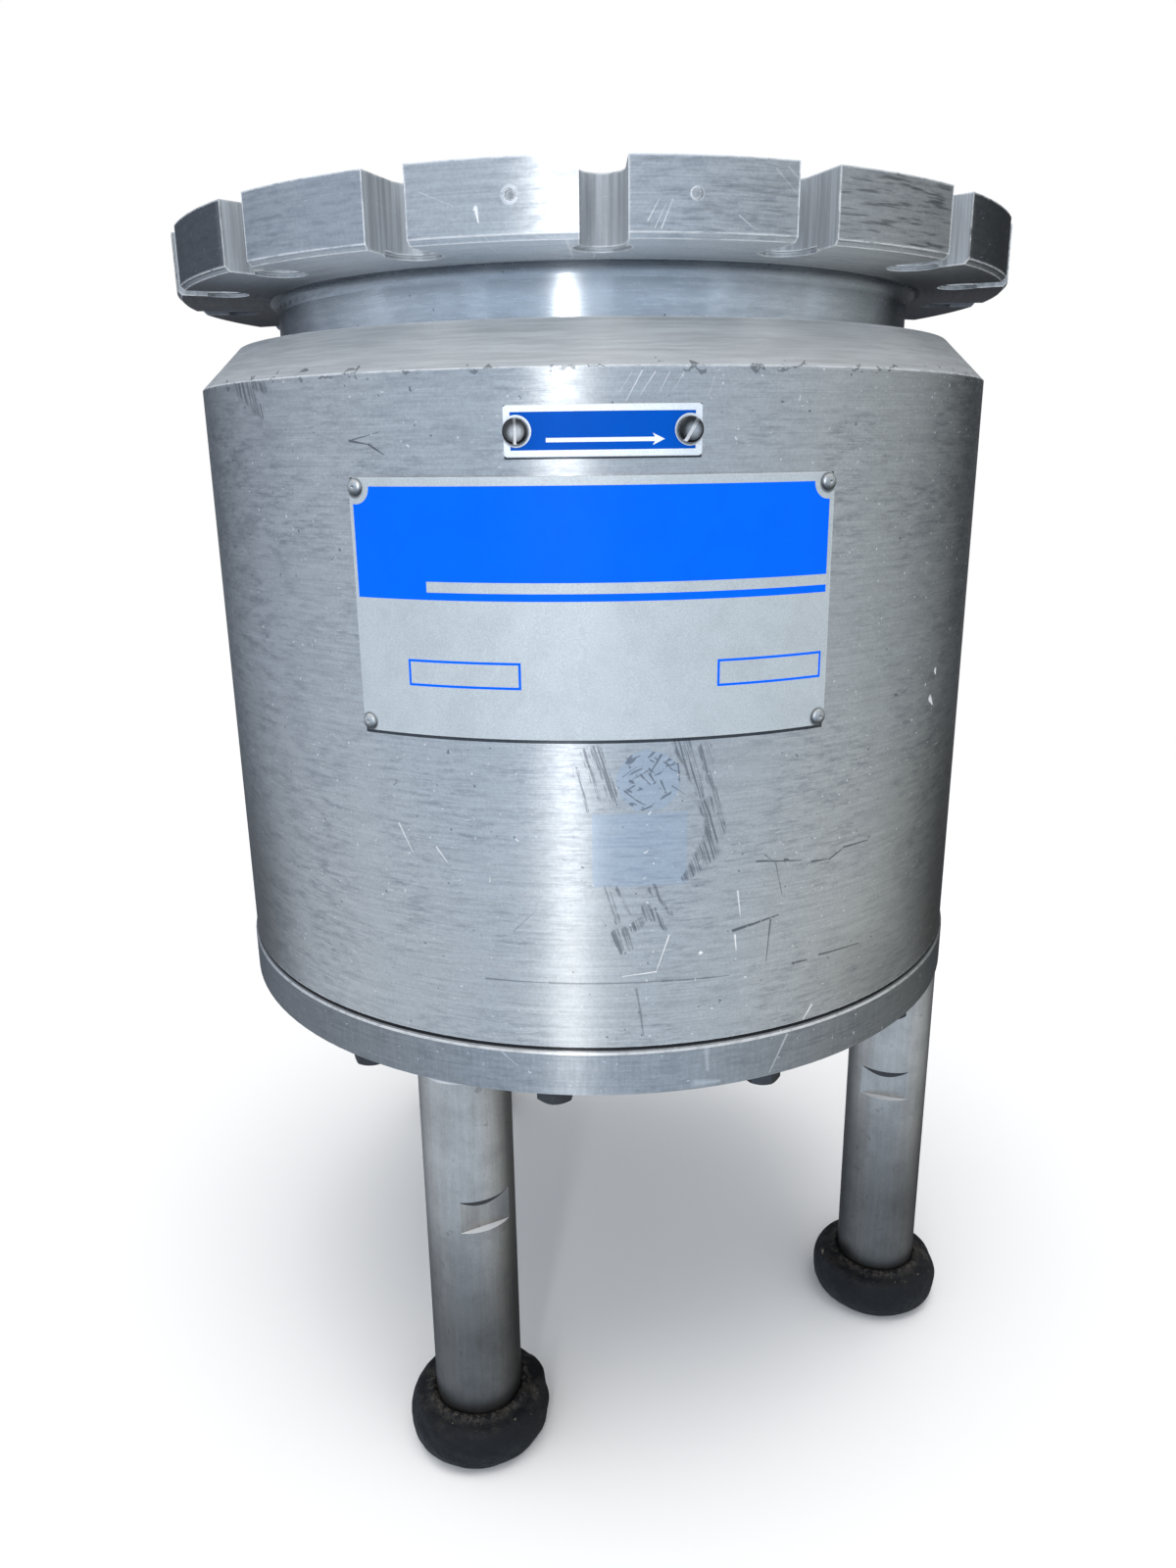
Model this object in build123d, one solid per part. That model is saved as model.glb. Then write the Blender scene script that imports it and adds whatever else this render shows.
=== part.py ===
from build123d import *
import math
import os

# Turbomolecular vacuum pump on three legs, one STEP file for each sub-part.
# The origin is the centre of the inlet flange's top face and +Z points up, so the pump hangs below z = 0.
# -Y is the front, where the nameplate is. Azimuths are degrees from the front, towards +X.
# Lengths are millimetres.

# Inlet flange and neck
flange_rim_width = 12.9
flange_thickness = 17.0
flange_edge_chamfer = 1.2
notch_count = 16
notch_width = 11.0
notch_from_neck = 16.5
spotface_radius = 7.0
spotface_depth = 1.0
rim_dimple_azimuths = (-9.2, 9.1)
rim_dimple_radius = 1.1
rim_dimple_depth = 0.6
inlet_depth = 10.0
seal_groove_land = 3.7
seal_groove_width = 5.6
seal_groove_depth = 4.5
seal_section = 4.4
neck_wall = 10.0
neck_length = 14.5
neck_fillet = 4.0

# Screen and its retaining ring, in the mouth of the throat
screen_ledge_width = 2.0
screen_thickness = 1.4
screen_clearance = 0.2
screen_bars = 12
screen_rings = 4
screen_bar_width = 2.0
screen_rim_width = 6.0
screen_hub_radius = 10.0
retaining_ring_thickness = 1.5
retaining_ring_width = 5.0
retaining_groove_depth = 2.0
retaining_gap = 14.0
ring_play = 0.1

# Body
body_radius = 127.0
body_length = 191.9
shoulder_chamfer = 12.0
body_wall = 14.7
roof_thickness = 14.4
body_edge_chamfer = 0.5

# Base plate and its bolts (M6)
base_overhang = 0.7
base_thickness = 14.0
base_edge_chamfer = 1.4
bolt_count = 12
bolt_edge_distance = 7.5
bolt_first_azimuth = 22.5
bolt_radius = 3.0
bolt_hole_radius = 3.3
bolt_flats = 10.0
bolt_head_height = 4.0
bolt_grip = 12.0
washer_radius = 5.4
washer_thickness = 1.6
washer_slit = 1.0
base_seal_land = 0.8
base_seal_section = 2.0
base_seal_groove_width = 2.4
base_seal_groove_depth = 2.05

# Legs and feet
leg_azimuths = (-22.5, 67.5, 215.0)
leg_edge_distance = 13.8
leg_radius = 14.0
leg_length = 120.1
leg_edge_chamfer = 1.2
leg_flats = 23.0
leg_flat_height = 11.0
leg_flat_azimuths = (26.7, -20.0, 180.0)
leg_flat_depths = (41.4, 37.5, 40.0)
stud_radius = 6.0
stud_land = 3.0
foot_radius = 23.0
foot_height = 17.5
foot_socket_depth = 9.0
foot_top_round = 2.0
foot_bottom_round = 4.0
foot_recess_radius = 9.0
foot_recess_depth = 4.5
foot_screw_radius = 3.0
foot_screw_grip = 12.0
foot_screw_head_radius = 6.0
foot_screw_head_height = 3.5

# Nameplate and its drive rivets, rotation plate and its screws (M3)
nameplate_azimuth = -1.6
nameplate_width = 129.4
nameplate_height = 65.6
nameplate_drop = 68.4
nameplate_thickness = 0.8
plate_corner_radius = 1.5
rivet_inset = 2.4
rivet_head_radius = 2.15
rivet_head_height = 0.9
rivet_radius = 1.1
rivet_length = 5.0
rotation_plate_azimuth = -0.2
rotation_plate_width = 48.2
rotation_plate_height = 12.0
rotation_plate_drop = 52.0
rotation_plate_thickness = 0.6
rotation_screw_inset = 3.2
plate_screw_radius = 1.5
plate_screw_length = 6.0
plate_screw_head_radius = 3.0
plate_screw_head_height = 1.8
plate_screw_slot_width = 0.8
plate_screw_slot_depth = 0.9
plate_screw_slot_angles = (0.0, -30.0)

# Blade rows, listed from the inlet down
rotor_row_heights = (20.0, 15.0, 12.0, 10.0, 8.0)
rotor_blade_count = (24, 28, 30, 32, 32)
rotor_blade_angle = 40.0
stator_row_heights = (11.0, 9.0, 7.0, 6.0)
stator_blade_count = (24, 28, 30, 32)
stator_blade_angle = -35.0
blade_thickness = 1.6
row_gap = 2.0
tip_clearance = 1.5
hub_radius = 48.0
hub_wall = 6.0
hub_core_radius = 18.0
hub_clearance = 1.5
stator_inner_width = 2.5
stator_rim_thickness = 2.2
stack_clearance = 0.2
spacer_wall = 22.1
sleeve_wall = 6.0

# Shaft, rotor nut and lock nut
shaft_radius = 10.0
shaft_collar_radius = 15.0
shaft_collar_height = 3.0
shaft_thread_radius = 6.0
rotor_nut_flats = 22.0
rotor_nut_height = 9.0
rotor_nut_recess = 8.0
rotor_nut_recess_radius = 22.0
lock_nut_flats = 19.0
lock_nut_height = 7.0
thread_runout = 2.0

# Ball bearings, two of one size
bearing_bore = 15.0
bearing_outside = 32.0
bearing_width = 9.0
ball_radius = 2.38
ball_play = 0.05
ball_count = 9
race_shoulder = 1.45
cage_wall = 1.6
cage_width = 6.0
pocket_play = 0.1

# Motor
motor_housing_radius = 44.0
motor_housing_wall = 12.0
motor_flange_radius = 62.0
motor_flange_thickness = 8.0
motor_screw_count = 6
motor_screw_circle_radius = 53.5
motor_screw_radius = 2.5
motor_screw_head_radius = 4.25
motor_screw_head_height = 5.0
motor_screw_grip = 9.0
motor_screw_socket = 4.0
stack_bore_radius = 19.5
winding_height = 8.0
winding_clearance = 6.75
winding_inset = 2.0
air_gap = 1.5
sleeve_radius = 10.0
bearing_lip_thickness = 3.0
bearing_lip_width = 2.5
spring_height = 1.4
spring_width = 2.4
retainer_radius = 27.0
retainer_thickness = 2.5
retainer_bore_radius = 12.0
retainer_gap = 1.5
retainer_screw_count = 4
retainer_screw_circle_radius = 21.5
retainer_screw_radius = 1.5
retainer_screw_head_radius = 2.75
retainer_screw_head_height = 1.2
retainer_screw_grip = 6.0

# Bottom cover and drain plug
cover_flange_radius = 46.0
cover_flange_thickness = 5.0
cover_bowl_radius = 32.0
cover_bowl_depth = 26.0
cover_wall = 4.0
cover_screw_count = 6
cover_screw_first_azimuth = 30.0
cover_screw_circle_radius = 39.5
cover_screw_radius = 2.0
cover_screw_head_radius = 3.5
cover_screw_head_height = 4.0
cover_screw_grip = 8.0
cover_screw_socket = 3.0
plug_radius = 5.0
plug_flats = 14.0
plug_head_height = 6.0
plug_collar_radius = 9.0
plug_collar_thickness = 1.5

# Foreline port at the back (DN 40 clamp flange)
foreline_margin = 2.5
foreline_bore_radius = 19.0
foreline_wall = 3.0
foreline_reach = 38.0
foreline_flange_radius = 27.5
foreline_flange_rim = 3.0
foreline_flange_taper = 4.0
foreline_recess_radius = 20.6
foreline_recess_depth = 3.0
foreline_entry = 4.0

# Electrical connector under the base plate
connector_radius = 72.0
connector_flange_side = 34.0
connector_flange_thickness = 3.0
connector_shell_radius = 14.0
connector_shell_wall = 2.0
connector_shell_height = 20.0
connector_insert_height = 8.0
connector_passage_radius = 9.0
connector_pin_count = 6
connector_pin_circle_radius = 7.0
connector_pin_radius = 0.8
connector_pin_height = 5.0
connector_screw_spacing = 26.0
connector_screw_radius = 1.5
connector_screw_head_radius = 2.75
connector_screw_head_height = 2.0
connector_screw_grip = 6.0

# Cooling water nipples in the base plate's edge
nipple_azimuths = (152.0, 165.0)
nipple_radius = 4.9
nipple_engagement = 12.0
nipple_flats = 12.0
nipple_hex_length = 6.0
nipple_stem_radius = 3.6
nipple_barb_radius = 4.6
nipple_barb_length = 5.0
nipple_barbs = 3
nipple_bore_radius = 2.2

# Levels and radii that follow from the sizes above
shoulder_z = -flange_thickness - neck_length
shoulder_radius = body_radius - shoulder_chamfer
base_top = shoulder_z - body_length
base_bottom = base_top - base_thickness
foot_top = base_bottom - leg_length
foot_bottom = foot_top - foot_height
leg_bottom = foot_top - foot_socket_depth
stud_length = base_thickness - stud_land
cavity_radius = body_radius - body_wall
cavity_top = shoulder_z - roof_thickness
stack_radius = cavity_radius - stack_clearance
throat_radius = stack_radius - spacer_wall
tip_radius = throat_radius - tip_clearance
inlet_radius = throat_radius + screen_ledge_width
seal_groove_radius = inlet_radius + seal_groove_land + seal_groove_width / 2
neck_radius = inlet_radius + neck_wall
notch_circle_radius = neck_radius + notch_from_neck
flange_radius = notch_circle_radius + flange_rim_width
base_radius = body_radius + base_overhang
base_seal_radius = cavity_radius + base_seal_land + base_seal_groove_width / 2
bolt_circle_radius = body_radius - bolt_edge_distance
leg_circle_radius = body_radius - leg_edge_distance
ledge_z = -inlet_depth - ring_play - retaining_ring_thickness - screen_thickness
bearing_pitch_radius = (bearing_bore + bearing_outside) / 4
rotor_inner_radius = hub_radius + hub_clearance
foreline_radius = foreline_bore_radius + foreline_wall
foreline_z = base_top + bolt_grip + foreline_margin + foreline_radius
shaft_bearing_radius = bearing_bore / 2


def row_levels():
    """The top of each rotor row and each stator row: the first stator's rim lies under the body's roof."""
    stator_tops = [cavity_top - stator_rim_thickness / 2 + stator_row_heights[0] / 2]
    rotor_tops = [stator_tops[0] + row_gap + rotor_row_heights[0]]
    for row, height in enumerate(stator_row_heights):
        rotor_tops.append(stator_tops[row] - height - row_gap)
        stator_tops.append(rotor_tops[-1] - rotor_row_heights[row + 1] - row_gap)
    return rotor_tops, stator_tops[:-1]


rotor_tops, stator_tops = row_levels()
rotor_bottom = rotor_tops[-1] - rotor_row_heights[-1]
collar_bottom = rotor_bottom - shaft_collar_height
retainer_top = collar_bottom - retainer_gap
motor_top = retainer_top - retainer_thickness
upper_bearing_top = motor_top - spring_height
upper_bearing_bottom = upper_bearing_top - bearing_width
motor_cavity_top = upper_bearing_bottom - bearing_lip_thickness
motor_cavity_radius = motor_housing_radius - motor_housing_wall
motor_middle = (motor_cavity_top + base_top) / 2
stack_length = motor_cavity_top - base_top - 2 * (winding_height + winding_clearance)
lower_bearing_bottom = base_top - bearing_width
lock_nut_bottom = lower_bearing_bottom - lock_nut_height


def disc(radius, top, bottom):
    """A solid cylinder on the pump's axis."""
    height = top - bottom
    return Pos(0, 0, bottom) * Cylinder(radius, height, align=(Align.CENTER, Align.CENTER, Align.MIN))


def ring(outer, inner, top, bottom):
    """A tube on the pump's axis."""
    return disc(outer, top, bottom) - disc(inner, top, bottom)


def turned(*points):
    """A turned solid from its half section, given as (radius, z) points."""
    return revolve(make_face(Plane.XZ * Polyline(*points, close=True)), Axis.Z)


def torus(pitch_radius, section_radius, z):
    return Pos(0, 0, z) * Torus(pitch_radius, section_radius)


def hexagon(flats, top, bottom):
    """A hexagonal prism on the axis, by its width across flats."""
    outline = RegularPolygon(flats / 2, 6, major_radius=False)
    return Pos(0, 0, bottom) * extrude(outline, top - bottom)


def at(azimuth, radius, z=0.0):
    """The place at an azimuth and a radius, whose own -Y points away from the axis."""
    return Rot(0, 0, azimuth) * Pos(0, -radius, z)


def outward(azimuth, radius, z):
    """The place whose own +Z points away from the pump's axis."""
    return at(azimuth, radius, z) * Rot(90, 0, 0)


def peg(radius, length):
    """A cylinder from the origin of its place along its own +Z."""
    return Cylinder(radius, length, align=(Align.CENTER, Align.CENTER, Align.MIN))


def even(count, first=0.0):
    return [first + 360 / count * step for step in range(count)]


def group(solids):
    """Several separate solids as one sub-part."""
    return Compound(children=list(solids))


def cut(shape, tools):
    """The shape less all the tools, in one operation."""
    return shape - list(tools)


def bolt_azimuths():
    return even(bolt_count, bolt_first_azimuth)


# Plates on the body's front

def plate_azimuth_offset(width, inset):
    """How far round the body a fastener at the plate's end lies from the plate's middle, in degrees."""
    return math.degrees((width / 2 - inset) / body_radius)


def rivet_places():
    offset = plate_azimuth_offset(nameplate_width, rivet_inset)
    levels = (-nameplate_drop - rivet_inset, -nameplate_drop - nameplate_height + rivet_inset)
    return [(nameplate_azimuth + side * offset, level) for side in (-1, 1) for level in levels]


def plate_screw_places():
    offset = plate_azimuth_offset(rotation_plate_width, rotation_screw_inset)
    level = -rotation_plate_drop - rotation_plate_height / 2
    return [(rotation_plate_azimuth + side * offset, level) for side in (-1, 1)]


def curved_plate(width, height, drop, thickness, azimuth):
    """A sheet rolled round the body's front, with its middle at the azimuth."""
    chord = 2 * body_radius * math.sin(width / 2 / body_radius)
    outline = RectangleRounded(chord, height, plate_corner_radius)
    block = Pos(0, 0, -drop - height / 2) * extrude(Plane.XZ * outline, body_radius + thickness)
    shell = ring(body_radius + thickness, body_radius, -drop + 1, -drop - height - 1)
    return Rot(0, 0, azimuth) * (shell & block)


def nameplate():
    plate = curved_plate(nameplate_width, nameplate_height, nameplate_drop, nameplate_thickness,
                         nameplate_azimuth)
    return cut(plate, [outward(a, body_radius - 1, z) * peg(rivet_radius, 3) for a, z in rivet_places()])


def nameplate_rivets():
    seat = body_radius + nameplate_thickness
    dome_radius = (rivet_head_radius ** 2 + rivet_head_height ** 2) / (2 * rivet_head_height)
    dome = Pos(0, 0, rivet_head_height - dome_radius) * Sphere(dome_radius) & peg(rivet_head_radius + 1, 3)
    shank = Pos(0, 0, -rivet_length) * peg(rivet_radius, rivet_length + rivet_head_height / 2)
    return group(outward(a, seat, z) * (dome + shank) for a, z in rivet_places())


def rotation_plate():
    plate = curved_plate(rotation_plate_width, rotation_plate_height, rotation_plate_drop,
                         rotation_plate_thickness, rotation_plate_azimuth)
    holes = [outward(a, body_radius - 1, z) * peg(plate_screw_radius, 3) for a, z in plate_screw_places()]
    return cut(plate, holes)


def rotation_screws():
    """Slotted pan-head screws, each turned to its own angle."""
    seat = body_radius + rotation_plate_thickness
    head = peg(plate_screw_head_radius, plate_screw_head_height)
    head = chamfer(head.edges().sort_by(Axis.Z)[-1], plate_screw_head_height / 4)
    shank = Pos(0, 0, -plate_screw_length) * peg(plate_screw_radius, plate_screw_length)
    slot_middle = plate_screw_head_height - plate_screw_slot_depth / 2
    slot_length = 3 * plate_screw_head_radius
    slot = Pos(0, 0, slot_middle) * Box(plate_screw_slot_width, slot_length, plate_screw_slot_depth)
    screws = []
    for (azimuth, z), angle in zip(plate_screw_places(), plate_screw_slot_angles):
        screws.append(outward(azimuth, seat, z) * (head + shank - Rot(0, 0, angle) * slot))
    return group(screws)


# Housing and inlet

def housing_outline():
    return [
        (inlet_radius, 0), (flange_radius, 0),
        (flange_radius, -flange_thickness + flange_edge_chamfer),
        (flange_radius - flange_edge_chamfer, -flange_thickness),
        (neck_radius, -flange_thickness), (neck_radius, shoulder_z), (shoulder_radius, shoulder_z),
        (body_radius, shoulder_z - shoulder_chamfer), (body_radius, base_top + body_edge_chamfer),
        (body_radius - body_edge_chamfer, base_top), (cavity_radius, base_top), (cavity_radius, cavity_top),
        (throat_radius, cavity_top), (throat_radius, ledge_z), (inlet_radius, ledge_z),
    ]


def notch():
    """One open bolt slot of the flange, with its round inner end and the spot face below it."""
    depth = flange_thickness + 2
    reach = flange_radius - notch_circle_radius + 5
    slot = Pos(0, -reach / 2, -depth / 2 + 1) * Box(notch_width, reach, depth)
    end = Pos(0, 0, -depth + 1) * peg(notch_width / 2, depth)
    spot = Pos(0, 0, -flange_thickness - 1) * peg(spotface_radius, spotface_depth + 1)
    return slot + end + spot


def housing():
    body = turned(*housing_outline())
    corner = [edge for edge in body.edges().filter_by(GeomType.CIRCLE)
              if abs(edge.radius - neck_radius) < 0.01 and abs(edge.center().Z + flange_thickness) < 0.01]
    body = fillet(corner, neck_fillet)
    half_groove = seal_groove_width / 2
    groove = ring(seal_groove_radius + half_groove, seal_groove_radius - half_groove, 1, -seal_groove_depth)
    snap = disc(inlet_radius + retaining_groove_depth, -inlet_depth, ledge_z)
    one_notch = notch()
    notches = [at(azimuth, notch_circle_radius) * one_notch for azimuth in even(notch_count)]
    dimple = peg(rim_dimple_radius, 2)
    dimples = [outward(azimuth, flange_radius - rim_dimple_depth, -flange_thickness * 0.46) * dimple
               for azimuth in rim_dimple_azimuths]
    rivet_start = body_radius + nameplate_thickness - rivet_length
    rivet_holes = [outward(a, rivet_start, z) * peg(rivet_radius, rivet_length) for a, z in rivet_places()]
    screw_start = body_radius + rotation_plate_thickness - plate_screw_length
    screw_holes = [outward(a, screw_start, z) * peg(plate_screw_radius, plate_screw_length)
                   for a, z in plate_screw_places()]
    bolt_hole = Pos(0, 0, base_top) * peg(bolt_radius, bolt_grip)
    bolt_holes = [at(azimuth, bolt_circle_radius) * bolt_hole for azimuth in bolt_azimuths()]
    port_hole = outward(180, cavity_radius - foreline_entry, foreline_z)
    port_hole = port_hole * peg(foreline_radius, body_wall + 2 * foreline_entry)
    tools = [groove, snap, port_hole] + notches + dimples + rivet_holes + screw_holes + bolt_holes
    return cut(body, tools)


def inlet_seal():
    return torus(seal_groove_radius, seal_section / 2, -seal_groove_depth + seal_section / 2)


def inlet_screen():
    """A flat grille of straight bars and rings in one sheet."""
    radius = inlet_radius - screen_clearance
    top, bottom = ledge_z + screen_thickness, ledge_z
    field = radius - screen_rim_width
    screen = ring(radius, field, top, bottom) + disc(screen_hub_radius, top, bottom)
    length = field - screen_hub_radius + screen_rim_width / 2
    bar = Box(screen_bar_width, length, screen_thickness)
    bar = Pos(0, -(field + screen_hub_radius) / 2, (top + bottom) / 2) * bar
    spacing = (field - screen_hub_radius) / (screen_rings + 1)
    radii = [screen_hub_radius + spacing * step for step in range(1, screen_rings + 1)]
    rings = [ring(r + screen_bar_width / 2, r - screen_bar_width / 2, top, bottom) for r in radii]
    bars = [Rot(0, 0, azimuth) * bar for azimuth in even(screen_bars)]
    return screen.fuse(*rings, *bars)


def retaining_ring():
    top = -inlet_depth - ring_play
    outer = inlet_radius + retaining_groove_depth - ring_play
    loop = ring(outer, outer - retaining_ring_width, top, top - retaining_ring_thickness)
    opening = Box(retaining_gap, 4 * retaining_ring_width, 4 * retaining_ring_thickness)
    return loop - at(180, outer, top) * opening


# Blade rows

def blade(root_radius, end_radius, height, angle):
    """One flat blade, tilted about its own length so that it fills the row's height."""
    tilt = math.radians(abs(angle))
    chord = (height - blade_thickness * math.cos(tilt)) / math.sin(tilt)
    length = end_radius + 2 - root_radius
    plank = Pos(root_radius + length / 2, 0, 0) * Rot(angle, 0, 0) * Box(length, chord, blade_thickness)
    return plank & Cylinder(end_radius, 2 * height)


def rotor_disc(row):
    """A row of blades on its hub, which reaches down to the next row's hub."""
    top, height = rotor_tops[row], rotor_row_heights[row]
    hub = disc(hub_radius, top, top - height)
    if row + 1 < len(rotor_tops):
        below = top - height
        core = disc(hub_core_radius, below, rotor_tops[row + 1])
        skirt = ring(hub_radius, hub_radius - hub_wall, below, rotor_tops[row + 1])
        hub = hub.fuse(core, skirt)
    one = blade(hub_radius - hub_wall, tip_radius, height, rotor_blade_angle)
    blades = [Pos(0, 0, top - height / 2) * Rot(0, 0, a) * one for a in even(rotor_blade_count[row])]
    rotor = hub.fuse(*blades)
    bore = disc(shaft_radius, top + 1, top - 2 * height - 2 * row_gap - max(stator_row_heights))
    if row == 0:
        bore = bore + disc(rotor_nut_recess_radius, top + 1, top - rotor_nut_recess)
    return rotor - bore


def stator_disc(row):
    """A row of fixed blades between a thin inner ring and the rim that the spacers clamp."""
    top, height = stator_tops[row], stator_row_heights[row]
    middle = top - height / 2
    half_rim = stator_rim_thickness / 2
    rim = ring(stack_radius, tip_radius, middle + half_rim, middle - half_rim)
    inner_end = rotor_inner_radius + stator_inner_width
    inner = ring(inner_end, rotor_inner_radius, top, top - height)
    start = rotor_inner_radius + stator_inner_width / 2
    one = blade(start, throat_radius - ring_play, height, stator_blade_angle)
    clear = disc(inner_end - stator_inner_width / 2, height, -height)
    one = one - clear
    blades = [Pos(0, 0, middle) * Rot(0, 0, a) * one for a in even(stator_blade_count[row])]
    return rim.fuse(inner, *blades)


def rim_bottom(row):
    return stator_tops[row] - stator_row_heights[row] / 2 - stator_rim_thickness / 2


def spacer_ring(row):
    """The ring round a rotor row, between the rims of the stator rows above and below it."""
    return ring(stack_radius, throat_radius, rim_bottom(row), rim_bottom(row + 1) + stator_rim_thickness)


def support_sleeve():
    """The sleeve that carries the blade stack on the base plate, open to the foreline at the back."""
    top = rim_bottom(len(stator_tops) - 1)
    step = rotor_bottom - row_gap
    inner = stack_radius - sleeve_wall
    sleeve = turned((stack_radius, top), (stack_radius, base_top), (inner, base_top), (inner, step),
                    (throat_radius, step), (throat_radius, top))
    opening = outward(180, inner - foreline_wall, foreline_z)
    return sleeve - opening * peg(foreline_radius, 2 * sleeve_wall + foreline_wall)


# Shaft and bearings

def rotor_shaft():
    top = rotor_tops[0] - thread_runout / 2
    seat = rotor_tops[0] - rotor_nut_recess
    return turned(
        (0, top), (shaft_thread_radius, top), (shaft_thread_radius, seat), (shaft_radius, seat),
        (shaft_radius, rotor_bottom), (shaft_collar_radius, rotor_bottom),
        (shaft_collar_radius, collar_bottom), (shaft_radius, collar_bottom),
        (shaft_radius, upper_bearing_top), (shaft_bearing_radius, upper_bearing_top),
        (shaft_bearing_radius, lower_bearing_bottom), (shaft_thread_radius, lower_bearing_bottom),
        (shaft_thread_radius, lock_nut_bottom - thread_runout), (0, lock_nut_bottom - thread_runout),
    )


def rotor_nut():
    seat = rotor_tops[0] - rotor_nut_recess
    return hexagon(rotor_nut_flats, seat + rotor_nut_height, seat) - disc(shaft_thread_radius, 0, seat)


def lock_nut():
    nut = hexagon(lock_nut_flats, lower_bearing_bottom, lock_nut_bottom)
    return nut - disc(shaft_thread_radius, lower_bearing_bottom, lock_nut_bottom)


def bearing(top):
    """Inner race, outer race, balls and cage of a deep-groove ball bearing."""
    bottom = top - bearing_width
    middle = (top + bottom) / 2
    groove = torus(bearing_pitch_radius, ball_radius + ball_play, middle)
    inner = ring(bearing_pitch_radius - race_shoulder, bearing_bore / 2, top, bottom) - groove
    outer = ring(bearing_outside / 2, bearing_pitch_radius + race_shoulder, top, bottom) - groove
    balls = [Pos(0, 0, middle) * Rot(0, 0, a) * Pos(0, -bearing_pitch_radius, 0) * Sphere(ball_radius)
             for a in even(ball_count)]
    half_wall = cage_wall / 2
    cage = ring(bearing_pitch_radius + half_wall, bearing_pitch_radius - half_wall,
                middle + cage_width / 2, middle - cage_width / 2)
    pocket = peg(ball_radius + pocket_play, 2 * cage_wall)
    pockets = [outward(a, bearing_pitch_radius - cage_wall, middle) * pocket for a in even(ball_count)]
    return inner, outer, group(balls), cut(cage, pockets)


# Motor

def screws(places, radius, grip, head_radius, head_height, socket=0.0):
    """Screws at places whose +Z points out of the head, each with a hexagon socket if one is given."""
    body = peg(head_radius, head_height) + Pos(0, 0, -grip) * peg(radius, grip)
    if socket:
        body = body - hexagon(socket, head_height + 1, head_height / 2)
    return group(place * body for place in places)


def motor_screw_places(z):
    return [at(azimuth, motor_screw_circle_radius, z) for azimuth in even(motor_screw_count)]


def retainer_screw_places(z):
    return [at(azimuth, retainer_screw_circle_radius, z) for azimuth in even(retainer_screw_count, 45)]


def motor_housing():
    flange_top = base_top + motor_flange_thickness
    bearing_radius = bearing_outside / 2
    lip_radius = bearing_radius - bearing_lip_width
    body = turned(
        (motor_housing_radius, motor_top), (motor_housing_radius, flange_top),
        (motor_flange_radius, flange_top), (motor_flange_radius, base_top),
        (motor_cavity_radius, base_top), (motor_cavity_radius, motor_cavity_top),
        (lip_radius, motor_cavity_top), (lip_radius, upper_bearing_bottom),
        (bearing_radius, upper_bearing_bottom), (bearing_radius, motor_top),
    )
    flange_hole = Pos(0, 0, -motor_flange_thickness) * peg(motor_screw_radius, motor_flange_thickness)
    retainer_hole = Pos(0, 0, -retainer_screw_grip) * peg(retainer_screw_radius, retainer_screw_grip)
    holes = [place * flange_hole for place in motor_screw_places(flange_top)]
    holes += [place * retainer_hole for place in retainer_screw_places(retainer_top)]
    return cut(body, holes)


def motor_screws():
    places = motor_screw_places(base_top + motor_flange_thickness)
    grip = motor_flange_thickness + motor_screw_grip
    return screws(places, motor_screw_radius, grip, motor_screw_head_radius, motor_screw_head_height,
                  motor_screw_socket)


def motor_stator():
    return ring(motor_cavity_radius, stack_bore_radius, motor_middle + stack_length / 2,
                motor_middle - stack_length / 2)


def motor_windings():
    """The two rings of end turns, above and below the iron stack."""
    outer = motor_cavity_radius - winding_inset
    inner = stack_bore_radius + winding_inset
    end = motor_middle + stack_length / 2
    coil = ring(outer, inner, end + winding_height, end)
    coil = fillet(coil.edges().group_by(Axis.Z)[-1], winding_height / 4)
    other = Pos(0, 0, 2 * motor_middle) * Rot(180, 0, 0) * coil
    return group([coil, other])


def motor_rotor():
    """The magnet pack and the sleeves that space the two bearings along the shaft."""
    half = stack_length / 2
    pack = disc(stack_bore_radius - air_gap, motor_middle + half, motor_middle - half)
    sleeve = disc(sleeve_radius, upper_bearing_bottom, base_top)
    return pack + sleeve - disc(shaft_bearing_radius, upper_bearing_bottom, base_top)


def preload_spring():
    outer = bearing_outside / 2 - ring_play
    return ring(outer, outer - spring_width, motor_top, upper_bearing_top)


def bearing_retainer():
    hole = Pos(0, 0, -retainer_thickness) * peg(retainer_screw_radius, retainer_thickness)
    plate = ring(retainer_radius, retainer_bore_radius, retainer_top, motor_top)
    return cut(plate, [place * hole for place in retainer_screw_places(retainer_top)])


def retainer_screws():
    return screws(retainer_screw_places(retainer_top), retainer_screw_radius, retainer_screw_grip,
                  retainer_screw_head_radius, retainer_screw_head_height)


# Base plate, its bolts, legs and feet

def cover_screw_places(z):
    azimuths = even(cover_screw_count, cover_screw_first_azimuth)
    return [at(azimuth, cover_screw_circle_radius, z) * Rot(180, 0, 0) for azimuth in azimuths]


def connector_screw_places(z):
    half = connector_screw_spacing / 2
    corners = [(x, y) for x in (-half, half) for y in (-half, half)]
    return [at(180, connector_radius, z) * Pos(x, y, 0) * Rot(180, 0, 0) for x, y in corners]


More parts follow.
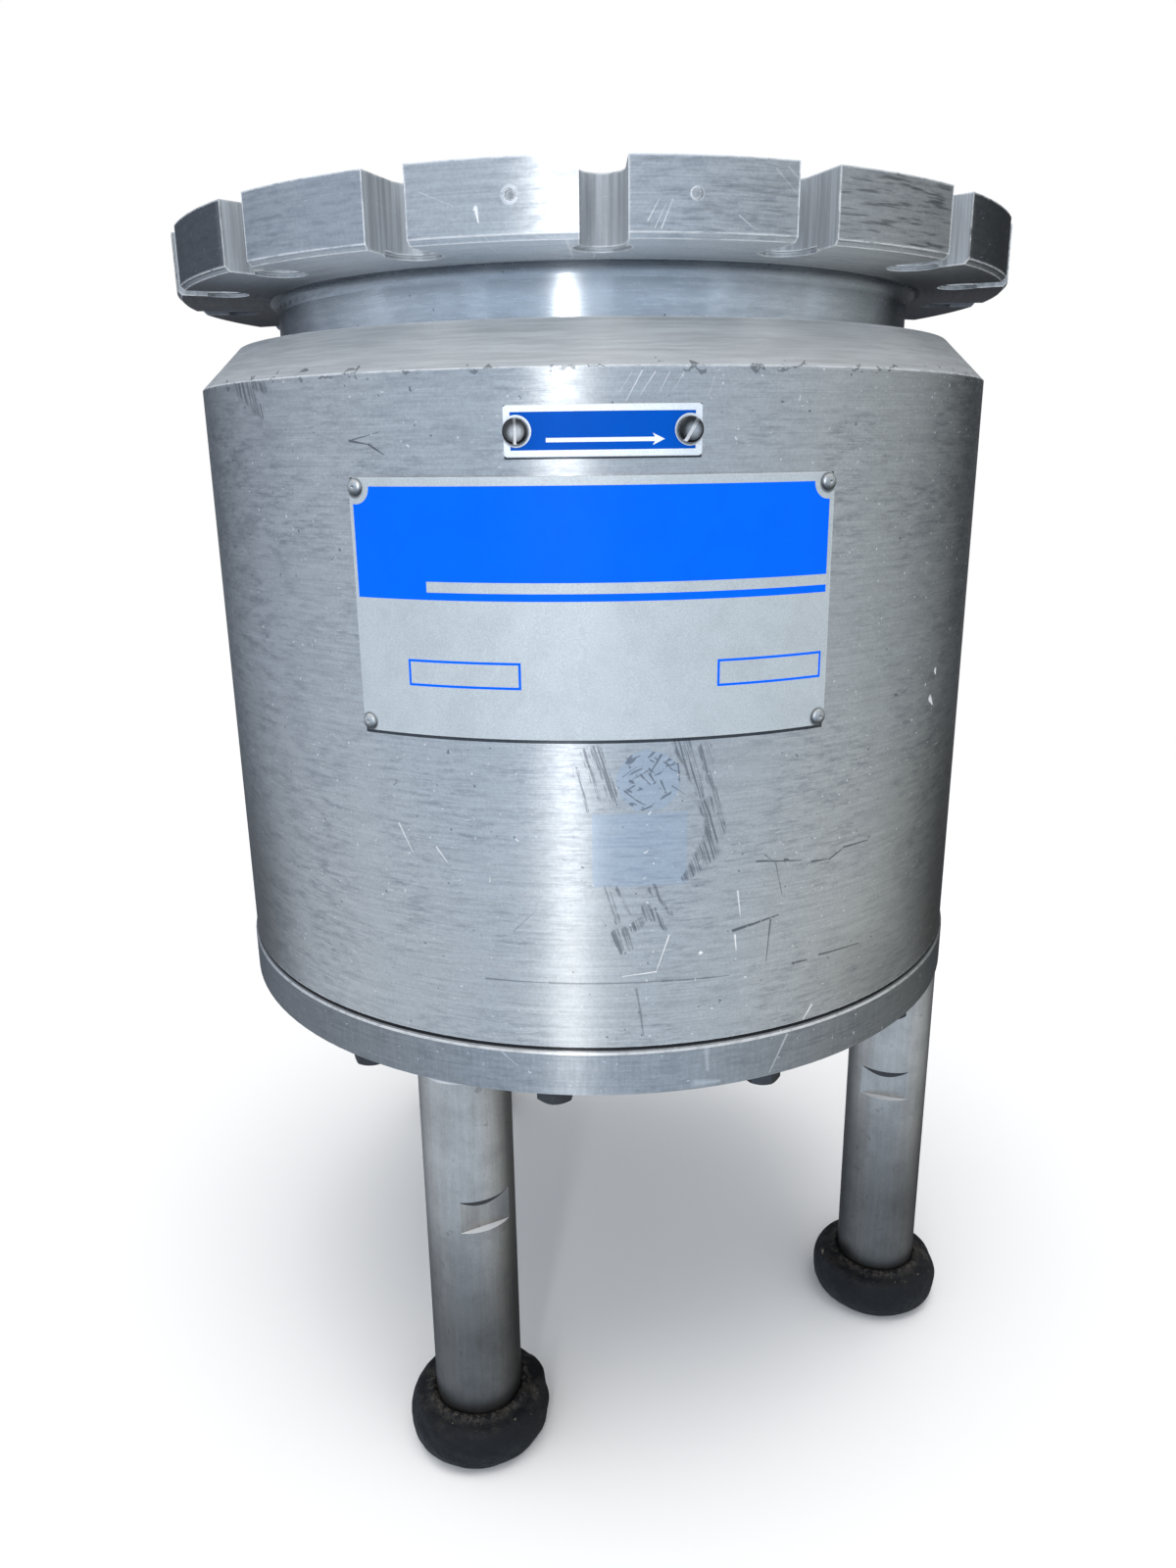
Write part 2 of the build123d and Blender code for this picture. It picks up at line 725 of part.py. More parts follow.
def base_plate():
    plate = disc(base_radius, base_top, base_bottom)
    plate = chamfer(plate.edges().group_by(Axis.Z)[-1], base_edge_chamfer)
    lip_radius = bearing_outside / 2 - bearing_lip_width
    centre = disc(bearing_outside / 2, base_top, lower_bearing_bottom)
    centre = centre + disc(lip_radius, base_top, base_bottom)
    half_groove = base_seal_groove_width / 2
    groove = ring(base_seal_radius + half_groove, base_seal_radius - half_groove, base_top,
                  base_top - base_seal_groove_depth)
    bolt_hole = Pos(0, 0, base_bottom) * peg(bolt_hole_radius, base_thickness)
    stud_hole = Pos(0, 0, base_bottom) * peg(stud_radius, stud_length)
    motor_hole = Pos(0, 0, -motor_screw_grip) * peg(motor_screw_radius, motor_screw_grip)
    cover_hole = Pos(0, 0, -cover_screw_grip) * peg(cover_screw_radius, cover_screw_grip)
    connector_hole = Pos(0, 0, -connector_screw_grip) * peg(connector_screw_radius, connector_screw_grip)
    nipple_hole = peg(nipple_radius, nipple_engagement + 1)
    nipple_z = base_bottom + base_thickness / 2
    tools = [centre, groove]
    tools += [at(azimuth, bolt_circle_radius) * bolt_hole for azimuth in bolt_azimuths()]
    tools += [at(azimuth, leg_circle_radius) * stud_hole for azimuth in leg_azimuths]
    tools += [place * motor_hole for place in motor_screw_places(base_top)]
    tools += [place * cover_hole for place in cover_screw_places(base_bottom)]
    tools += [place * connector_hole for place in connector_screw_places(base_bottom)]
    tools += [outward(a, base_radius - nipple_engagement, nipple_z) * nipple_hole for a in nipple_azimuths]
    tools.append(at(180, connector_radius, base_bottom) * peg(connector_passage_radius, base_thickness))
    return cut(plate, tools)


def base_seal():
    section_radius = base_seal_section / 2
    return torus(base_seal_radius, section_radius, base_top - base_seal_groove_depth + section_radius)


def base_bolts():
    """Hexagon-head bolts, put in from below."""
    head_top = base_bottom - washer_thickness
    head = hexagon(bolt_flats, head_top, head_top - bolt_head_height)
    shank = disc(bolt_radius, base_top + bolt_grip, head_top)
    bolt = head + shank
    return group(at(azimuth, bolt_circle_radius) * bolt for azimuth in bolt_azimuths())


def base_washers():
    """Split lock washers."""
    washer = ring(washer_radius, bolt_hole_radius, base_bottom, base_bottom - washer_thickness)
    slit = Pos(washer_radius, 0, base_bottom) * Box(washer_radius, washer_slit, 4 * washer_thickness)
    return group(at(azimuth, bolt_circle_radius) * (washer - slit) for azimuth in bolt_azimuths())


def leg(number):
    """A turned leg with its stud and a pair of flats for a spanner."""
    shaft = disc(leg_radius, base_bottom, leg_bottom)
    shaft = chamfer(shaft.edges().group_by(Axis.Z)[-1], leg_edge_chamfer)
    bore = disc(foot_screw_radius, leg_bottom + foot_screw_grip, leg_bottom)
    stud = disc(stud_radius, base_bottom + stud_length, base_bottom)
    side = leg_radius - leg_flats / 2
    level = base_bottom - leg_flat_depths[number] - leg_flat_height / 2
    block = Box(4 * side + leg_flats, 2 * side, leg_flat_height)
    flats = [Pos(0, sign * (leg_flats / 2 + side), level) * block for sign in (-1, 1)]
    shape = cut(shaft + stud, [bore] + [Rot(0, 0, leg_flat_azimuths[number]) * flat for flat in flats])
    place = leg_azimuths[number]
    return Pos(*leg_centre(place), 0) * shape


def leg_centre(azimuth):
    angle = math.radians(azimuth)
    return leg_circle_radius * math.sin(angle), -leg_circle_radius * math.cos(angle)


def foot(number):
    """A rubber foot with a socket for the leg and a recess for its screw."""
    pad = disc(foot_radius, foot_top, foot_bottom)
    pad = fillet(pad.edges().group_by(Axis.Z)[-1], foot_top_round)
    pad = fillet(pad.edges().group_by(Axis.Z)[0], foot_bottom_round)
    socket = disc(leg_radius, foot_top, leg_bottom)
    recess = disc(foot_recess_radius, foot_bottom + foot_recess_depth, foot_bottom)
    hole = disc(foot_screw_radius, leg_bottom, foot_bottom)
    return Pos(*leg_centre(leg_azimuths[number]), 0) * cut(pad, [socket, recess, hole])


def foot_screws():
    seat = foot_bottom + foot_recess_depth
    grip = leg_bottom + foot_screw_grip - seat
    places = [Pos(*leg_centre(azimuth), seat) * Rot(180, 0, 0) for azimuth in leg_azimuths]
    return screws(places, foot_screw_radius, grip, foot_screw_head_radius, foot_screw_head_height)


# Bottom cover, foreline port, connector and water nipples

def bottom_cover():
    bowl_bottom = base_bottom - cover_bowl_depth
    inner = cover_bowl_radius - cover_wall
    cover = turned(
        (inner, base_bottom), (cover_flange_radius, base_bottom),
        (cover_flange_radius, base_bottom - cover_flange_thickness),
        (cover_bowl_radius, base_bottom - cover_flange_thickness), (cover_bowl_radius, bowl_bottom),
        (0, bowl_bottom), (0, bowl_bottom + cover_wall), (inner, bowl_bottom + cover_wall),
    )
    hole = peg(cover_screw_radius, cover_flange_thickness)
    holes = [place * hole for place in cover_screw_places(base_bottom)]
    return cut(cover, holes + [disc(plug_radius, bowl_bottom + cover_wall, bowl_bottom)])


def cover_screws():
    places = cover_screw_places(base_bottom - cover_flange_thickness)
    grip = cover_flange_thickness + cover_screw_grip
    return screws(places, cover_screw_radius, grip, cover_screw_head_radius, cover_screw_head_height,
                  cover_screw_socket)


def drain_plug():
    seat = base_bottom - cover_bowl_depth
    collar = disc(plug_collar_radius, seat, seat - plug_collar_thickness)
    head_top = seat - plug_collar_thickness
    head = hexagon(plug_flats, head_top, head_top - plug_head_height)
    return collar + head + disc(plug_radius, seat + cover_wall, seat)


def foreline_port():
    """A plain tube through the body's wall with a clamp flange at its end."""
    start = stack_radius - sleeve_wall + foreline_wall
    end = body_radius + foreline_reach
    length = end - start
    taper_start = length - foreline_flange_rim - foreline_flange_taper
    tube = turned(
        (foreline_bore_radius, 0), (foreline_radius, 0), (foreline_radius, taper_start),
        (foreline_flange_radius, length - foreline_flange_rim), (foreline_flange_radius, length),
        (foreline_recess_radius, length), (foreline_recess_radius, length - foreline_recess_depth),
        (foreline_bore_radius, length - foreline_recess_depth),
    )
    return outward(180, start, foreline_z) * tube


def connector_shell():
    """A round receptacle on a square flange, opening downwards."""
    side = connector_flange_side
    flange = Pos(0, 0, connector_flange_thickness / 2) * Box(side, side, connector_flange_thickness)
    shell = flange + peg(connector_shell_radius, connector_shell_height)
    inner = connector_shell_radius - connector_shell_wall
    half = connector_screw_spacing / 2
    hole = peg(connector_screw_radius, connector_flange_thickness)
    holes = [Pos(x, y, 0) * hole for x in (-half, half) for y in (-half, half)]
    shell = cut(shell, holes + [peg(inner, connector_shell_height)])
    return at(180, connector_radius, base_bottom) * Rot(180, 0, 0) * shell


def connector_pin_places():
    return [Rot(0, 0, a) * Pos(0, connector_pin_circle_radius, 0) for a in even(connector_pin_count)]


def connector_insert():
    block = peg(connector_shell_radius - connector_shell_wall, connector_insert_height)
    pin_hole = peg(connector_pin_radius, connector_insert_height)
    block = cut(block, [place * pin_hole for place in connector_pin_places()])
    return at(180, connector_radius, base_bottom) * Rot(180, 0, 0) * block


def connector_pins():
    pin = peg(connector_pin_radius, connector_insert_height + connector_pin_height)
    place = at(180, connector_radius, base_bottom) * Rot(180, 0, 0)
    return group(place * spot * pin for spot in connector_pin_places())


def connector_screws():
    places = connector_screw_places(base_bottom - connector_flange_thickness)
    grip = connector_flange_thickness + connector_screw_grip
    return screws(places, connector_screw_radius, grip, connector_screw_head_radius,
                  connector_screw_head_height)


def cooling_nipples():
    """Hose nipples for the cooling water, screwed into the base plate's edge."""
    length = nipple_engagement + nipple_hex_length
    points = [(nipple_bore_radius, 0), (nipple_radius, 0), (nipple_radius, nipple_engagement),
              (nipple_stem_radius, nipple_engagement), (nipple_stem_radius, length)]
    for step in range(nipple_barbs):
        start = length + step * nipple_barb_length
        points += [(nipple_barb_radius, start), (nipple_stem_radius, start + nipple_barb_length)]
    points.append((nipple_bore_radius, length + nipple_barbs * nipple_barb_length))
    collar = hexagon(nipple_flats, length, nipple_engagement)
    nipple = turned(*points) + (collar - disc(nipple_bore_radius, length, nipple_engagement))
    level = base_bottom + base_thickness / 2
    return group(outward(a, base_radius - nipple_engagement, level) * nipple for a in nipple_azimuths)


def sub_parts():
    """Every sub-part by the name of its file."""
    single = [
        housing, inlet_seal, inlet_screen, retaining_ring, base_plate, base_seal, base_bolts, base_washers,
        nameplate, nameplate_rivets, rotation_plate, rotation_screws, support_sleeve, rotor_shaft, rotor_nut,
        lock_nut, motor_housing, motor_screws, motor_stator, motor_windings, motor_rotor, preload_spring,
        bearing_retainer, retainer_screws, foot_screws, bottom_cover, cover_screws, drain_plug, foreline_port,
        connector_shell, connector_insert, connector_pins, connector_screws, cooling_nipples,
    ]
    parts = {function.__name__: function() for function in single}
    for row in range(len(rotor_tops)):
        parts[f"rotor_disc_{row + 1}"] = rotor_disc(row)
    for row in range(len(stator_tops)):
        parts[f"stator_disc_{row + 1}"] = stator_disc(row)
    for row in range(len(stator_tops) - 1):
        parts[f"spacer_ring_{row + 1}"] = spacer_ring(row)
    for number in range(len(leg_azimuths)):
        parts[f"leg_{number + 1}"] = leg(number)
        parts[f"foot_{number + 1}"] = foot(number)
    for name, top in (("upper", upper_bearing_top), ("lower", base_top)):
        pieces = zip(("inner_race", "outer_race", "balls", "cage"), bearing(top))
        parts.update({f"{name}_{piece}": shape for piece, shape in pieces})
    return parts


os.makedirs("parts", exist_ok=True)
for name, shape in sub_parts().items():
    export_step(shape, f"parts/{name}.step")
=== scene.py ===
"""Looks of a turbomolecular pump: its finishes, its small mesh pieces and its studio."""

import math
import random

import bmesh
import bpy
from bpy.props import FloatProperty, FloatVectorProperty, PointerProperty
from mathutils import Matrix, Vector


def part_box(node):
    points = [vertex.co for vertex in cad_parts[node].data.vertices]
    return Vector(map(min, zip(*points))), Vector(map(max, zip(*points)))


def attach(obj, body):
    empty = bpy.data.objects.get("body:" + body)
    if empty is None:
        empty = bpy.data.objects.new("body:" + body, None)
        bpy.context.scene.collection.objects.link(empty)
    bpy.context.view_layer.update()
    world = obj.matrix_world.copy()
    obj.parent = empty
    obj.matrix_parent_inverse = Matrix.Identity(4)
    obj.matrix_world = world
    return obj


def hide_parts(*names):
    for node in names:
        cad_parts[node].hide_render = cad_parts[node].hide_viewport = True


bl_info = {
    "name": "Turbomolecular pump looks",
    "version": (1, 0, 0),
    "blender": (4, 5, 0),
    "location": "3D View > Sidebar > Pump",
    "description": "Finishes, mesh pieces, floor and lights for the packed pump",
    "category": "Object",
}

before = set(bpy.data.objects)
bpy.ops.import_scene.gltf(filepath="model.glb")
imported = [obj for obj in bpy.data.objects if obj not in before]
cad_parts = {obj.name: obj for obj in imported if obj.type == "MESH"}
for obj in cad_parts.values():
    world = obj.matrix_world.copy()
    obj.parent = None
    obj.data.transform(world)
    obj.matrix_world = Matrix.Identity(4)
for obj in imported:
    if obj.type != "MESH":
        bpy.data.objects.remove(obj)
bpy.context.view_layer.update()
MM = 0.001
DEGREES = 180 / math.pi


def box_of(node):
    """The low and the high corner of a CAD node, in millimetres."""
    return [[value / MM for value in corner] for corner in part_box(node)]


def size_of(node):
    low, high = box_of(node)
    return [b - a for a, b in zip(low, high)]


def middle_of(node):
    low, high = box_of(node)
    return [(a + b) / 2 for a, b in zip(low, high)]


def levels_of(node):
    """The lowest and the highest level of a CAD node."""
    return [corner[2] for corner in box_of(node)]


def arc_of(node):
    """Where a curved plate starts and ends round the body's front."""
    return [math.asin(corner[0] / (BODY_RADIUS + 0.7)) * BODY_RADIUS for corner in box_of(node)]


# Levels and radii of the frame, in millimetres

FLANGE_RADIUS = size_of("housing")[0] / 2
BODY_RADIUS = size_of("base_plate")[0] / 2 - 0.7
BASE_BOTTOM, BASE_TOP = levels_of("base_plate")
FLOOR_LEVEL = levels_of("foot_1")[0]
PLATE_BOTTOM, PLATE_TOP = levels_of("nameplate")
SMALL_PLATE_BOTTOM, SMALL_PLATE_TOP = levels_of("rotation_plate")
SMALL_PLATE_MIDDLE = (SMALL_PLATE_BOTTOM + SMALL_PLATE_TOP) / 2
PLATE_ARC = arc_of("nameplate")
SMALL_PLATE_ARC = arc_of("rotation_plate")
LEG_RADIUS = size_of("leg_1")[0] / 2
FLANGE_THICKNESS = 17.0
NECK_RADIUS = 102.0
SHOULDER_TOP = -31.5
SHOULDER_LOW = -43.5
NAMEPLATE_THICKNESS = 0.8
ROTATION_PLATE_THICKNESS = 0.6
RIVET_RADIUS = 2.15
ROTATION_SCREWS = (-21.3, 20.5)

# The front's wall is unrolled: distances in millimetres round from azimuth zero, and levels

CLEAN_TAPE = (-4.2, 21.2, -174.6, -154.2)
CLEAN_DISC = (10.8, -145.4)
CLEAN_DISC_RADIUS = 8.4

# Colours that come back in several finishes

BRIGHT = (0.95, 0.95, 0.95)
PALE_WEAR_AND_LIGHT = (0.9, 0.9, 0.9)


# Sizes and colours that a user would change

def colour_setting(name, about, colour):
    return FloatVectorProperty(
        name=name, description=about, subtype="COLOR", size=3, min=0, max=1, default=colour)


def number_setting(name, about, least, most, number, unit="NONE"):
    return FloatProperty(name=name, description=about, min=least, max=most, default=number, unit=unit)


class PumpMetal(bpy.types.PropertyGroup):
    """The turned aluminium of the body and its grain."""

    body: colour_setting("Body metal", "Colour of the turned aluminium body", (0.63, 0.645, 0.655))
    tarnish: colour_setting("Tarnish", "Colour of the dull streaks in the body", (0.26, 0.285, 0.34))
    roughness: number_setting("Roughness", "Mean roughness of the turned body", 0, 1, 0.42)
    grain_depth: number_setting("Grain depth", "Height of the turning marks", 0, 0.001, 0.00002, "LENGTH")
    leg: colour_setting("Leg metal", "Colour of the satin legs", (0.55, 0.525, 0.495))


class PumpPlates(bpy.types.PropertyGroup):
    """The enamel and the bare metal of the two plates."""

    enamel: colour_setting("Enamel", "Blue of the nameplate", (0.0, 0.135, 1.0))
    small_enamel: colour_setting("Small enamel", "Deeper blue of the rotation plate", (0.0, 0.088, 0.50))
    bare: colour_setting("Bare metal", "Etched metal of the nameplate", (0.60, 0.63, 0.635))
    pale: colour_setting("Pale metal", "Whitened metal of the rotation plate", (0.90, 0.93, 0.96))
    edge_round: number_setting("Edge rounding", "Rounding of the plates' edges", 0, 0.001, 0.00018, "LENGTH")
    blue_drop: number_setting("Blue height", "Height of the nameplate's blue", 0, 0.06, 0.0279, "LENGTH")


class PumpRubber(bpy.types.PropertyGroup):
    """The feet."""

    rubber: colour_setting("Rubber", "Colour of the feet", (0.006, 0.0065, 0.008))
    dust: colour_setting("Dust", "Colour of the dirt on the feet", (0.12, 0.105, 0.085))
    unevenness: number_setting("Unevenness", "How far the rubber wanders", 0, 0.002, 0.00035, "LENGTH")


class PumpStage(bpy.types.PropertyGroup):
    """The floor, the lights and the camera."""

    floor: colour_setting("Floor", "Colour of the floor", (0.97, 0.955, 0.94))
    floor_radius: number_setting("Floor radius", "Radius of the round floor", 0.5, 20, 4.0, "LENGTH")
    key: number_setting("Key light", "Power of the tall lamp in front, in watts", 0, 500, 1.25)
    top: number_setting("Top light", "Power of the overhead softbox, in watts", 0, 500, 20.0)
    surround: number_setting("Surround", "Brightness of the room that the metal mirrors", 0, 5, 1.0)
    focal_length: number_setting("Focal length", "Lens of the camera, in millimetres", 10, 200, 25.806)


# Materials

def math_node(operation, swapped=False):
    """A method that adds a math node to a value."""
    def method(self, *others):
        values = (*others, self) if swapped else (self, *others)
        return self.nodes.add("ShaderNodeMath", *values, operation=operation)
    return method


class Value:
    """A node's output. Sums, products and comparisons add math nodes, and | gives the larger of two."""

    def __init__(self, nodes, socket):
        self.nodes = nodes
        self.socket = socket

    __add__ = math_node("ADD")
    __sub__ = math_node("SUBTRACT")
    __rsub__ = math_node("SUBTRACT", swapped=True)
    __mul__ = math_node("MULTIPLY")
    __truediv__ = math_node("DIVIDE")
    __or__ = __ror__ = math_node("MAXIMUM")
    __gt__ = math_node("GREATER_THAN")
    __lt__ = math_node("LESS_THAN")
    __abs__ = math_node("ABSOLUTE")
    least = math_node("MINIMUM")
    root = math_node("SQRT")
    sine = math_node("SINE")
    angle_from = math_node("ARCTAN2")
    near = math_node("COMPARE")

    def within(self, low, high):
        """One between two numbers, zero outside."""
        return self.near((low + high) / 2, (high - low) / 2)

    def ease(self, low, high, start=0.0, end=1.0):
        """Goes softly from start to end while the value goes from low to high."""
        sockets = (self, low, high, start, end)
        return self.nodes.add("ShaderNodeMapRange", *sockets, interpolation_type="SMOOTHSTEP")

    def vary(self, start, end):
        """Spreads a noise, most of which lies between 0.3 and 0.7, from start to end."""
        return self.ease(0.3, 0.7, start, end)


class Nodes:
    """Short ways to add nodes to a tree."""

    def __init__(self, tree):
        self.tree = tree
        tree.nodes.clear()

    def plug(self, value, socket):
        """Links a value to a socket, or sets the socket to a plain one."""
        if isinstance(value, Value):
            self.tree.links.new(value.socket, socket)
        elif socket.type == "RGBA":
            socket.default_value = (*value[:3], 1.0)
        else:
            socket.default_value = value

    def add(self, kind, *values, out=0, named=None, **settings):
        """Adds a node and gives one of its outputs."""
        node = self.tree.nodes.new(kind)
        for key, value in settings.items():
            setattr(node, key, value)
        for key, value in [*enumerate(values), *(named or {}).items()]:
            self.plug(value, node.inputs[key])
        return Value(self, node.outputs[out]) if node.outputs else node

    def vector(self, operation, *values, out=0, named=None):
        return self.add("ShaderNodeVectorMath", *values, operation=operation, out=out, named=named)

    def distance(self, first, second):
        return self.vector("DISTANCE", first, second, out=1)

    def split(self, vector):
        node = self.tree.nodes.new("ShaderNodeSeparateXYZ")
        self.plug(vector, node.inputs[0])
        return [Value(self, socket) for socket in node.outputs]

    def combine(self, x, y, z=0.0):
        return self.add("ShaderNodeCombineXYZ", x, y, z)

    def blend(self, factor, first, second, kind="MIX"):
        inputs = {0: factor, 6: first, 7: second}
        return self.add("ShaderNodeMix", named=inputs, out=2, data_type="RGBA", blend_type=kind)

    def dim(self, colour, amount):
        """The colour times a grey amount."""
        return self.blend(1.0, colour, amount, "MULTIPLY")

    def ramp(self, value, stops):
        """Colours at positions from 0 to 1."""
        node = self.tree.nodes.new("ShaderNodeValToRGB")
        self.plug(value, node.inputs[0])
        elements = node.color_ramp.elements
        while len(elements) < len(stops):
            elements.new(0.5)
        for element, (position, colour) in zip(elements, stops):
            element.position = position
            element.color = (*colour, 1.0)
        return Value(self, node.outputs[0])


class Finish(Nodes):
    """One material, measured in millimetres from an upright axis. Its colour is laid on coat by coat."""

    def __init__(self, name, colour, centre=(0.0, 0.0)):
        self.material = bpy.data.materials.new(name)
        self.material.use_nodes = True
        super().__init__(self.material.node_tree)
        self.colour = colour
        self.shader = self.tree.nodes.new("ShaderNodeBsdfPrincipled")
        output = self.tree.nodes.new("ShaderNodeOutputMaterial")
        self.tree.links.new(self.shader.outputs[0], output.inputs[0])
        spot = self.add("ShaderNodeTexCoord", out="Object")
        self.here = self.vector("MULTIPLY_ADD", spot, (1 / MM,) * 3, (-centre[0], -centre[1], 0.0))
        self.x, self.y, self.z = self.split(self.here)
        self.radius = (self.x * self.x + self.y * self.y).root()
        self.normal = self.add("ShaderNodeNewGeometry", out="Normal")
        self.rise = self.split(self.normal)[2]

    def paint(self, mask, colour, kind="MIX"):
        """Lays a colour over the last one where the mask is one."""
        self.colour = self.blend(mask, self.colour, colour, kind)

    def shade(self, amount):
        """Makes the colour darker or lighter."""
        self.colour = self.dim(self.colour, amount)

    def noise(self, spot, detail=2.0, roughness=0.5):
        settings = {"Scale": 1.0, "Detail": detail, "Roughness": roughness}
        return self.add("ShaderNodeTexNoise", spot, named=settings)

    def streaks(self, size, detail=2.0, roughness=0.5):
        """Noise drawn out by a size for each axis, in millimetres."""
        return self.noise(self.vector("DIVIDE", self.here, size), detail, roughness)

    def grain(self, along, across, detail=2.0, roughness=0.5):
        """Noise drawn out round the axis: its sizes along and across the turning marks, in millimetres."""
        spot = self.combine(self.x, self.y, self.radius * 1.7 + self.z)
        return self.noise(self.vector("DIVIDE", spot, (along, along, across)), detail, roughness)

    def spots(self, size, detail=2.0, roughness=0.5, offset=0.0):
        """Even noise with blotches of this size, in millimetres."""
        spot = self.vector("MULTIPLY_ADD", self.here, (1 / size,) * 3, (offset,) * 3)
        return self.noise(spot, detail, roughness)

    def hairs(self, place, angle, length, width, level):
        """Sparse thin lines at one angle to the horizontal, in degrees."""
        turn = {"Angle": math.radians(-angle)}
        turned = self.add("ShaderNodeVectorRotate", place, named=turn, rotation_type="Z_AXIS")
        line = self.noise(self.vector("DIVIDE", turned, (length, width, 1.0)), 1.0)
        return line.ease(level, level + 0.04)

    def arc(self, radius):
        """Distance round the front from azimuth zero, towards +X."""
        return self.x.angle_from(self.y * -1.0) * radius

    def unrolled(self, radius=BODY_RADIUS):
        """The place on the wall laid flat: the distance round, and the level."""
        return self.combine(self.arc(radius), self.z)

    def gap(self, across, level, radius=BODY_RADIUS):
        """Distance from a point of the unrolled wall."""
        return self.distance(self.unrolled(radius), (across, level, 0.0))

    def inside(self, box):
        """One inside a rectangle (left, right, bottom, top) of the unrolled wall, zero outside."""
        return self.arc(BODY_RADIUS).within(*box[:2]) * self.z.within(*box[2:])

    def strokes(self, place, marks):
        """The strongest of several strokes at each point."""
        group = bpy.data.node_groups.get("Stroke") or stroke_group()
        strongest = 0.0
        for *points, width, strength in marks:
            for (a, b), (c, d) in zip(points, points[1:]):
                run = (c - a, d - b, 0.0)
                mask = self.add("ShaderNodeGroup", place, (a, b, 0.0), run, width, node_tree=group)
                strongest = strongest | mask * strength
        return strongest

    def edge(self, size):
        """One on the piece's edges, falling to zero this far into its faces, in millimetres."""
        rounded = self.add("ShaderNodeBevel", named={"Radius": size * MM}, samples=4)
        return self.vector("DOT_PRODUCT", self.normal, rounded, out=1).ease(0.995, 0.90)

    def bump(self, height, depth, strength):
        """A normal from a height of 0 to 1 that stands depth metres tall."""
        return self.add("ShaderNodeBump", named={"Strength": strength, "Distance": depth, "Height": height})

    def pulled(self, amount, rotation=0.25):
        """Sockets that draw the gloss out across the turning marks, or along them at no rotation."""
        tangent = self.add("ShaderNodeTangent", direction_type="RADIAL", axis="Z")
        return {"Anisotropic": amount, "Anisotropic_Rotation": rotation, "Tangent": tangent}

    def done(self, **sockets):
        """Sets the shader's sockets, named with underscores for spaces, and gives the material."""
        for key, value in {"Base_Color": self.colour, **sockets}.items():
            self.plug(value, self.shader.inputs[key.replace("_", " ")])
        return self.material


def stroke_group():
    """Node group: one on the line from Start along Run, falling to zero at Width, which thins on the way."""
    tree = bpy.data.node_groups.new("Stroke", "ShaderNodeTree")
    group = Nodes(tree)
    for name, kind in (("Place", "Vector"), ("Start", "Vector"), ("Run", "Vector"), ("Width", "Float")):
        tree.interface.new_socket(name, in_out="INPUT", socket_type="NodeSocket" + kind)
    tree.interface.new_socket("Mask", in_out="OUTPUT", socket_type="NodeSocketFloat")
    inputs = tree.nodes.new("NodeGroupInput").outputs[:4]
    place, start, run, width = [Value(group, socket) for socket in inputs]
    away = group.vector("SUBTRACT", place, start)
    share = group.vector("DOT_PRODUCT", away, run, out=1) / group.vector("DOT_PRODUCT", run, run, out=1)
    share = (share | 0.0).least(1.0)
    gap = group.distance(away, group.vector("SCALE", run, named={"Scale": share}))
    mask = (1.0 - gap / (width * (1.0 - share * 0.6))) | 0.0
    group.plug(mask, tree.nodes.new("NodeGroupOutput").inputs[0])
    return tree


# Rubs and scratches on the unrolled front: their points, then width and strength

DARK_STROKES = [
    ((-34.5, -203), (-16.5, -203), (14.5, -203), (34, -203.5), 0.9, 0.6),
    ((7.5, -205), (8.5, -211), (9.5, -219.5), 1.3, 0.55), ((35, -190), (49, -187.5), 0.9, 1.0),
    ((46.5, -188), (45.5, -201), 0.7, 0.75), ((41.5, -170.5), (56, -172.5), 0.7, 0.8),
    ((50.5, -171.5), (51.5, -171.5), 1.1, 1.0),
    ((59.5, -173.5), (66, -174), (71.5, -171.5), (81.5, -171.5), 0.8, 0.75),
    ((44, -169), (47.5, -172), (49, -178), (50, -182), 0.5, 0.65),
    ((54.5, -203.5), (59.5, -203.5), 1.0, 0.8), ((64, -203), (80, -203.5), 0.9, 0.75),
    ((-67, -59.5), (-61, -60.5), (-56.5, -63), 0.65, 0.85), ((-67, -59.5), (-57.5, -57.5), 0.5, 0.7),
    ((-26, -188), (-19.5, -181.5), 0.45, 0.55), ((14, -138.5), (11, -143.5), (12.5, -146), 0.8, 0.7),
    ((9, -143.5), (6, -145), 0.5, 0.6), ((7, -146.5), (4.5, -148), (7.5, -150.5), (10, -152), 0.6, 0.7),
    ((5, -139), (6, -142.5), 0.7, 0.5), ((15.5, -141.5), (18.5, -141), (19, -146), 0.6, 0.7),
    ((14, -145.5), (15.5, -149), 0.7, 0.7), ((17, -147), (20.5, -149.5), 0.6, 0.6),
    ((4, -144), (7.5, -141.5), 0.5, 0.6),
]
RUB_STROKES = [
    ((-3, -137), (0.5, -146.5), (2, -151.5), 2.2, 0.9), ((-6, -137.5), (-2, -150), 1.6, 0.7),
    ((-9, -139), (-5, -153), 1.5, 0.6), ((19.5, -135), (25, -150), 3.4, 1.0),
    ((25.5, -137.5), (29.5, -153.5), 2.2, 0.9),
    ((27.5, -154), (29, -160), (27, -166), (21.5, -172.5), 4.4, 1.0), ((0, -175), (2.5, -185), 1.7, 0.9),
    ((3, -175), (6, -182.5), 1.7, 0.7), ((12, -175.5), (17, -183.5), 1.7, 0.8),
    ((7.5, -186), (12.5, -181.5), 2.0, 1.0), ((10, -181.5), (15.5, -187.5), 2.2, 0.9),
    ((2, -188.5), (3.5, -193.5), 2.2, 0.9), ((4.5, -187.5), (6, -193), 1.8, 0.8),
    ((-112, -43.5), (-101, -52), 5.5, 0.9), ((-106, -44), (-98, -46), 3.0, 0.8),
]
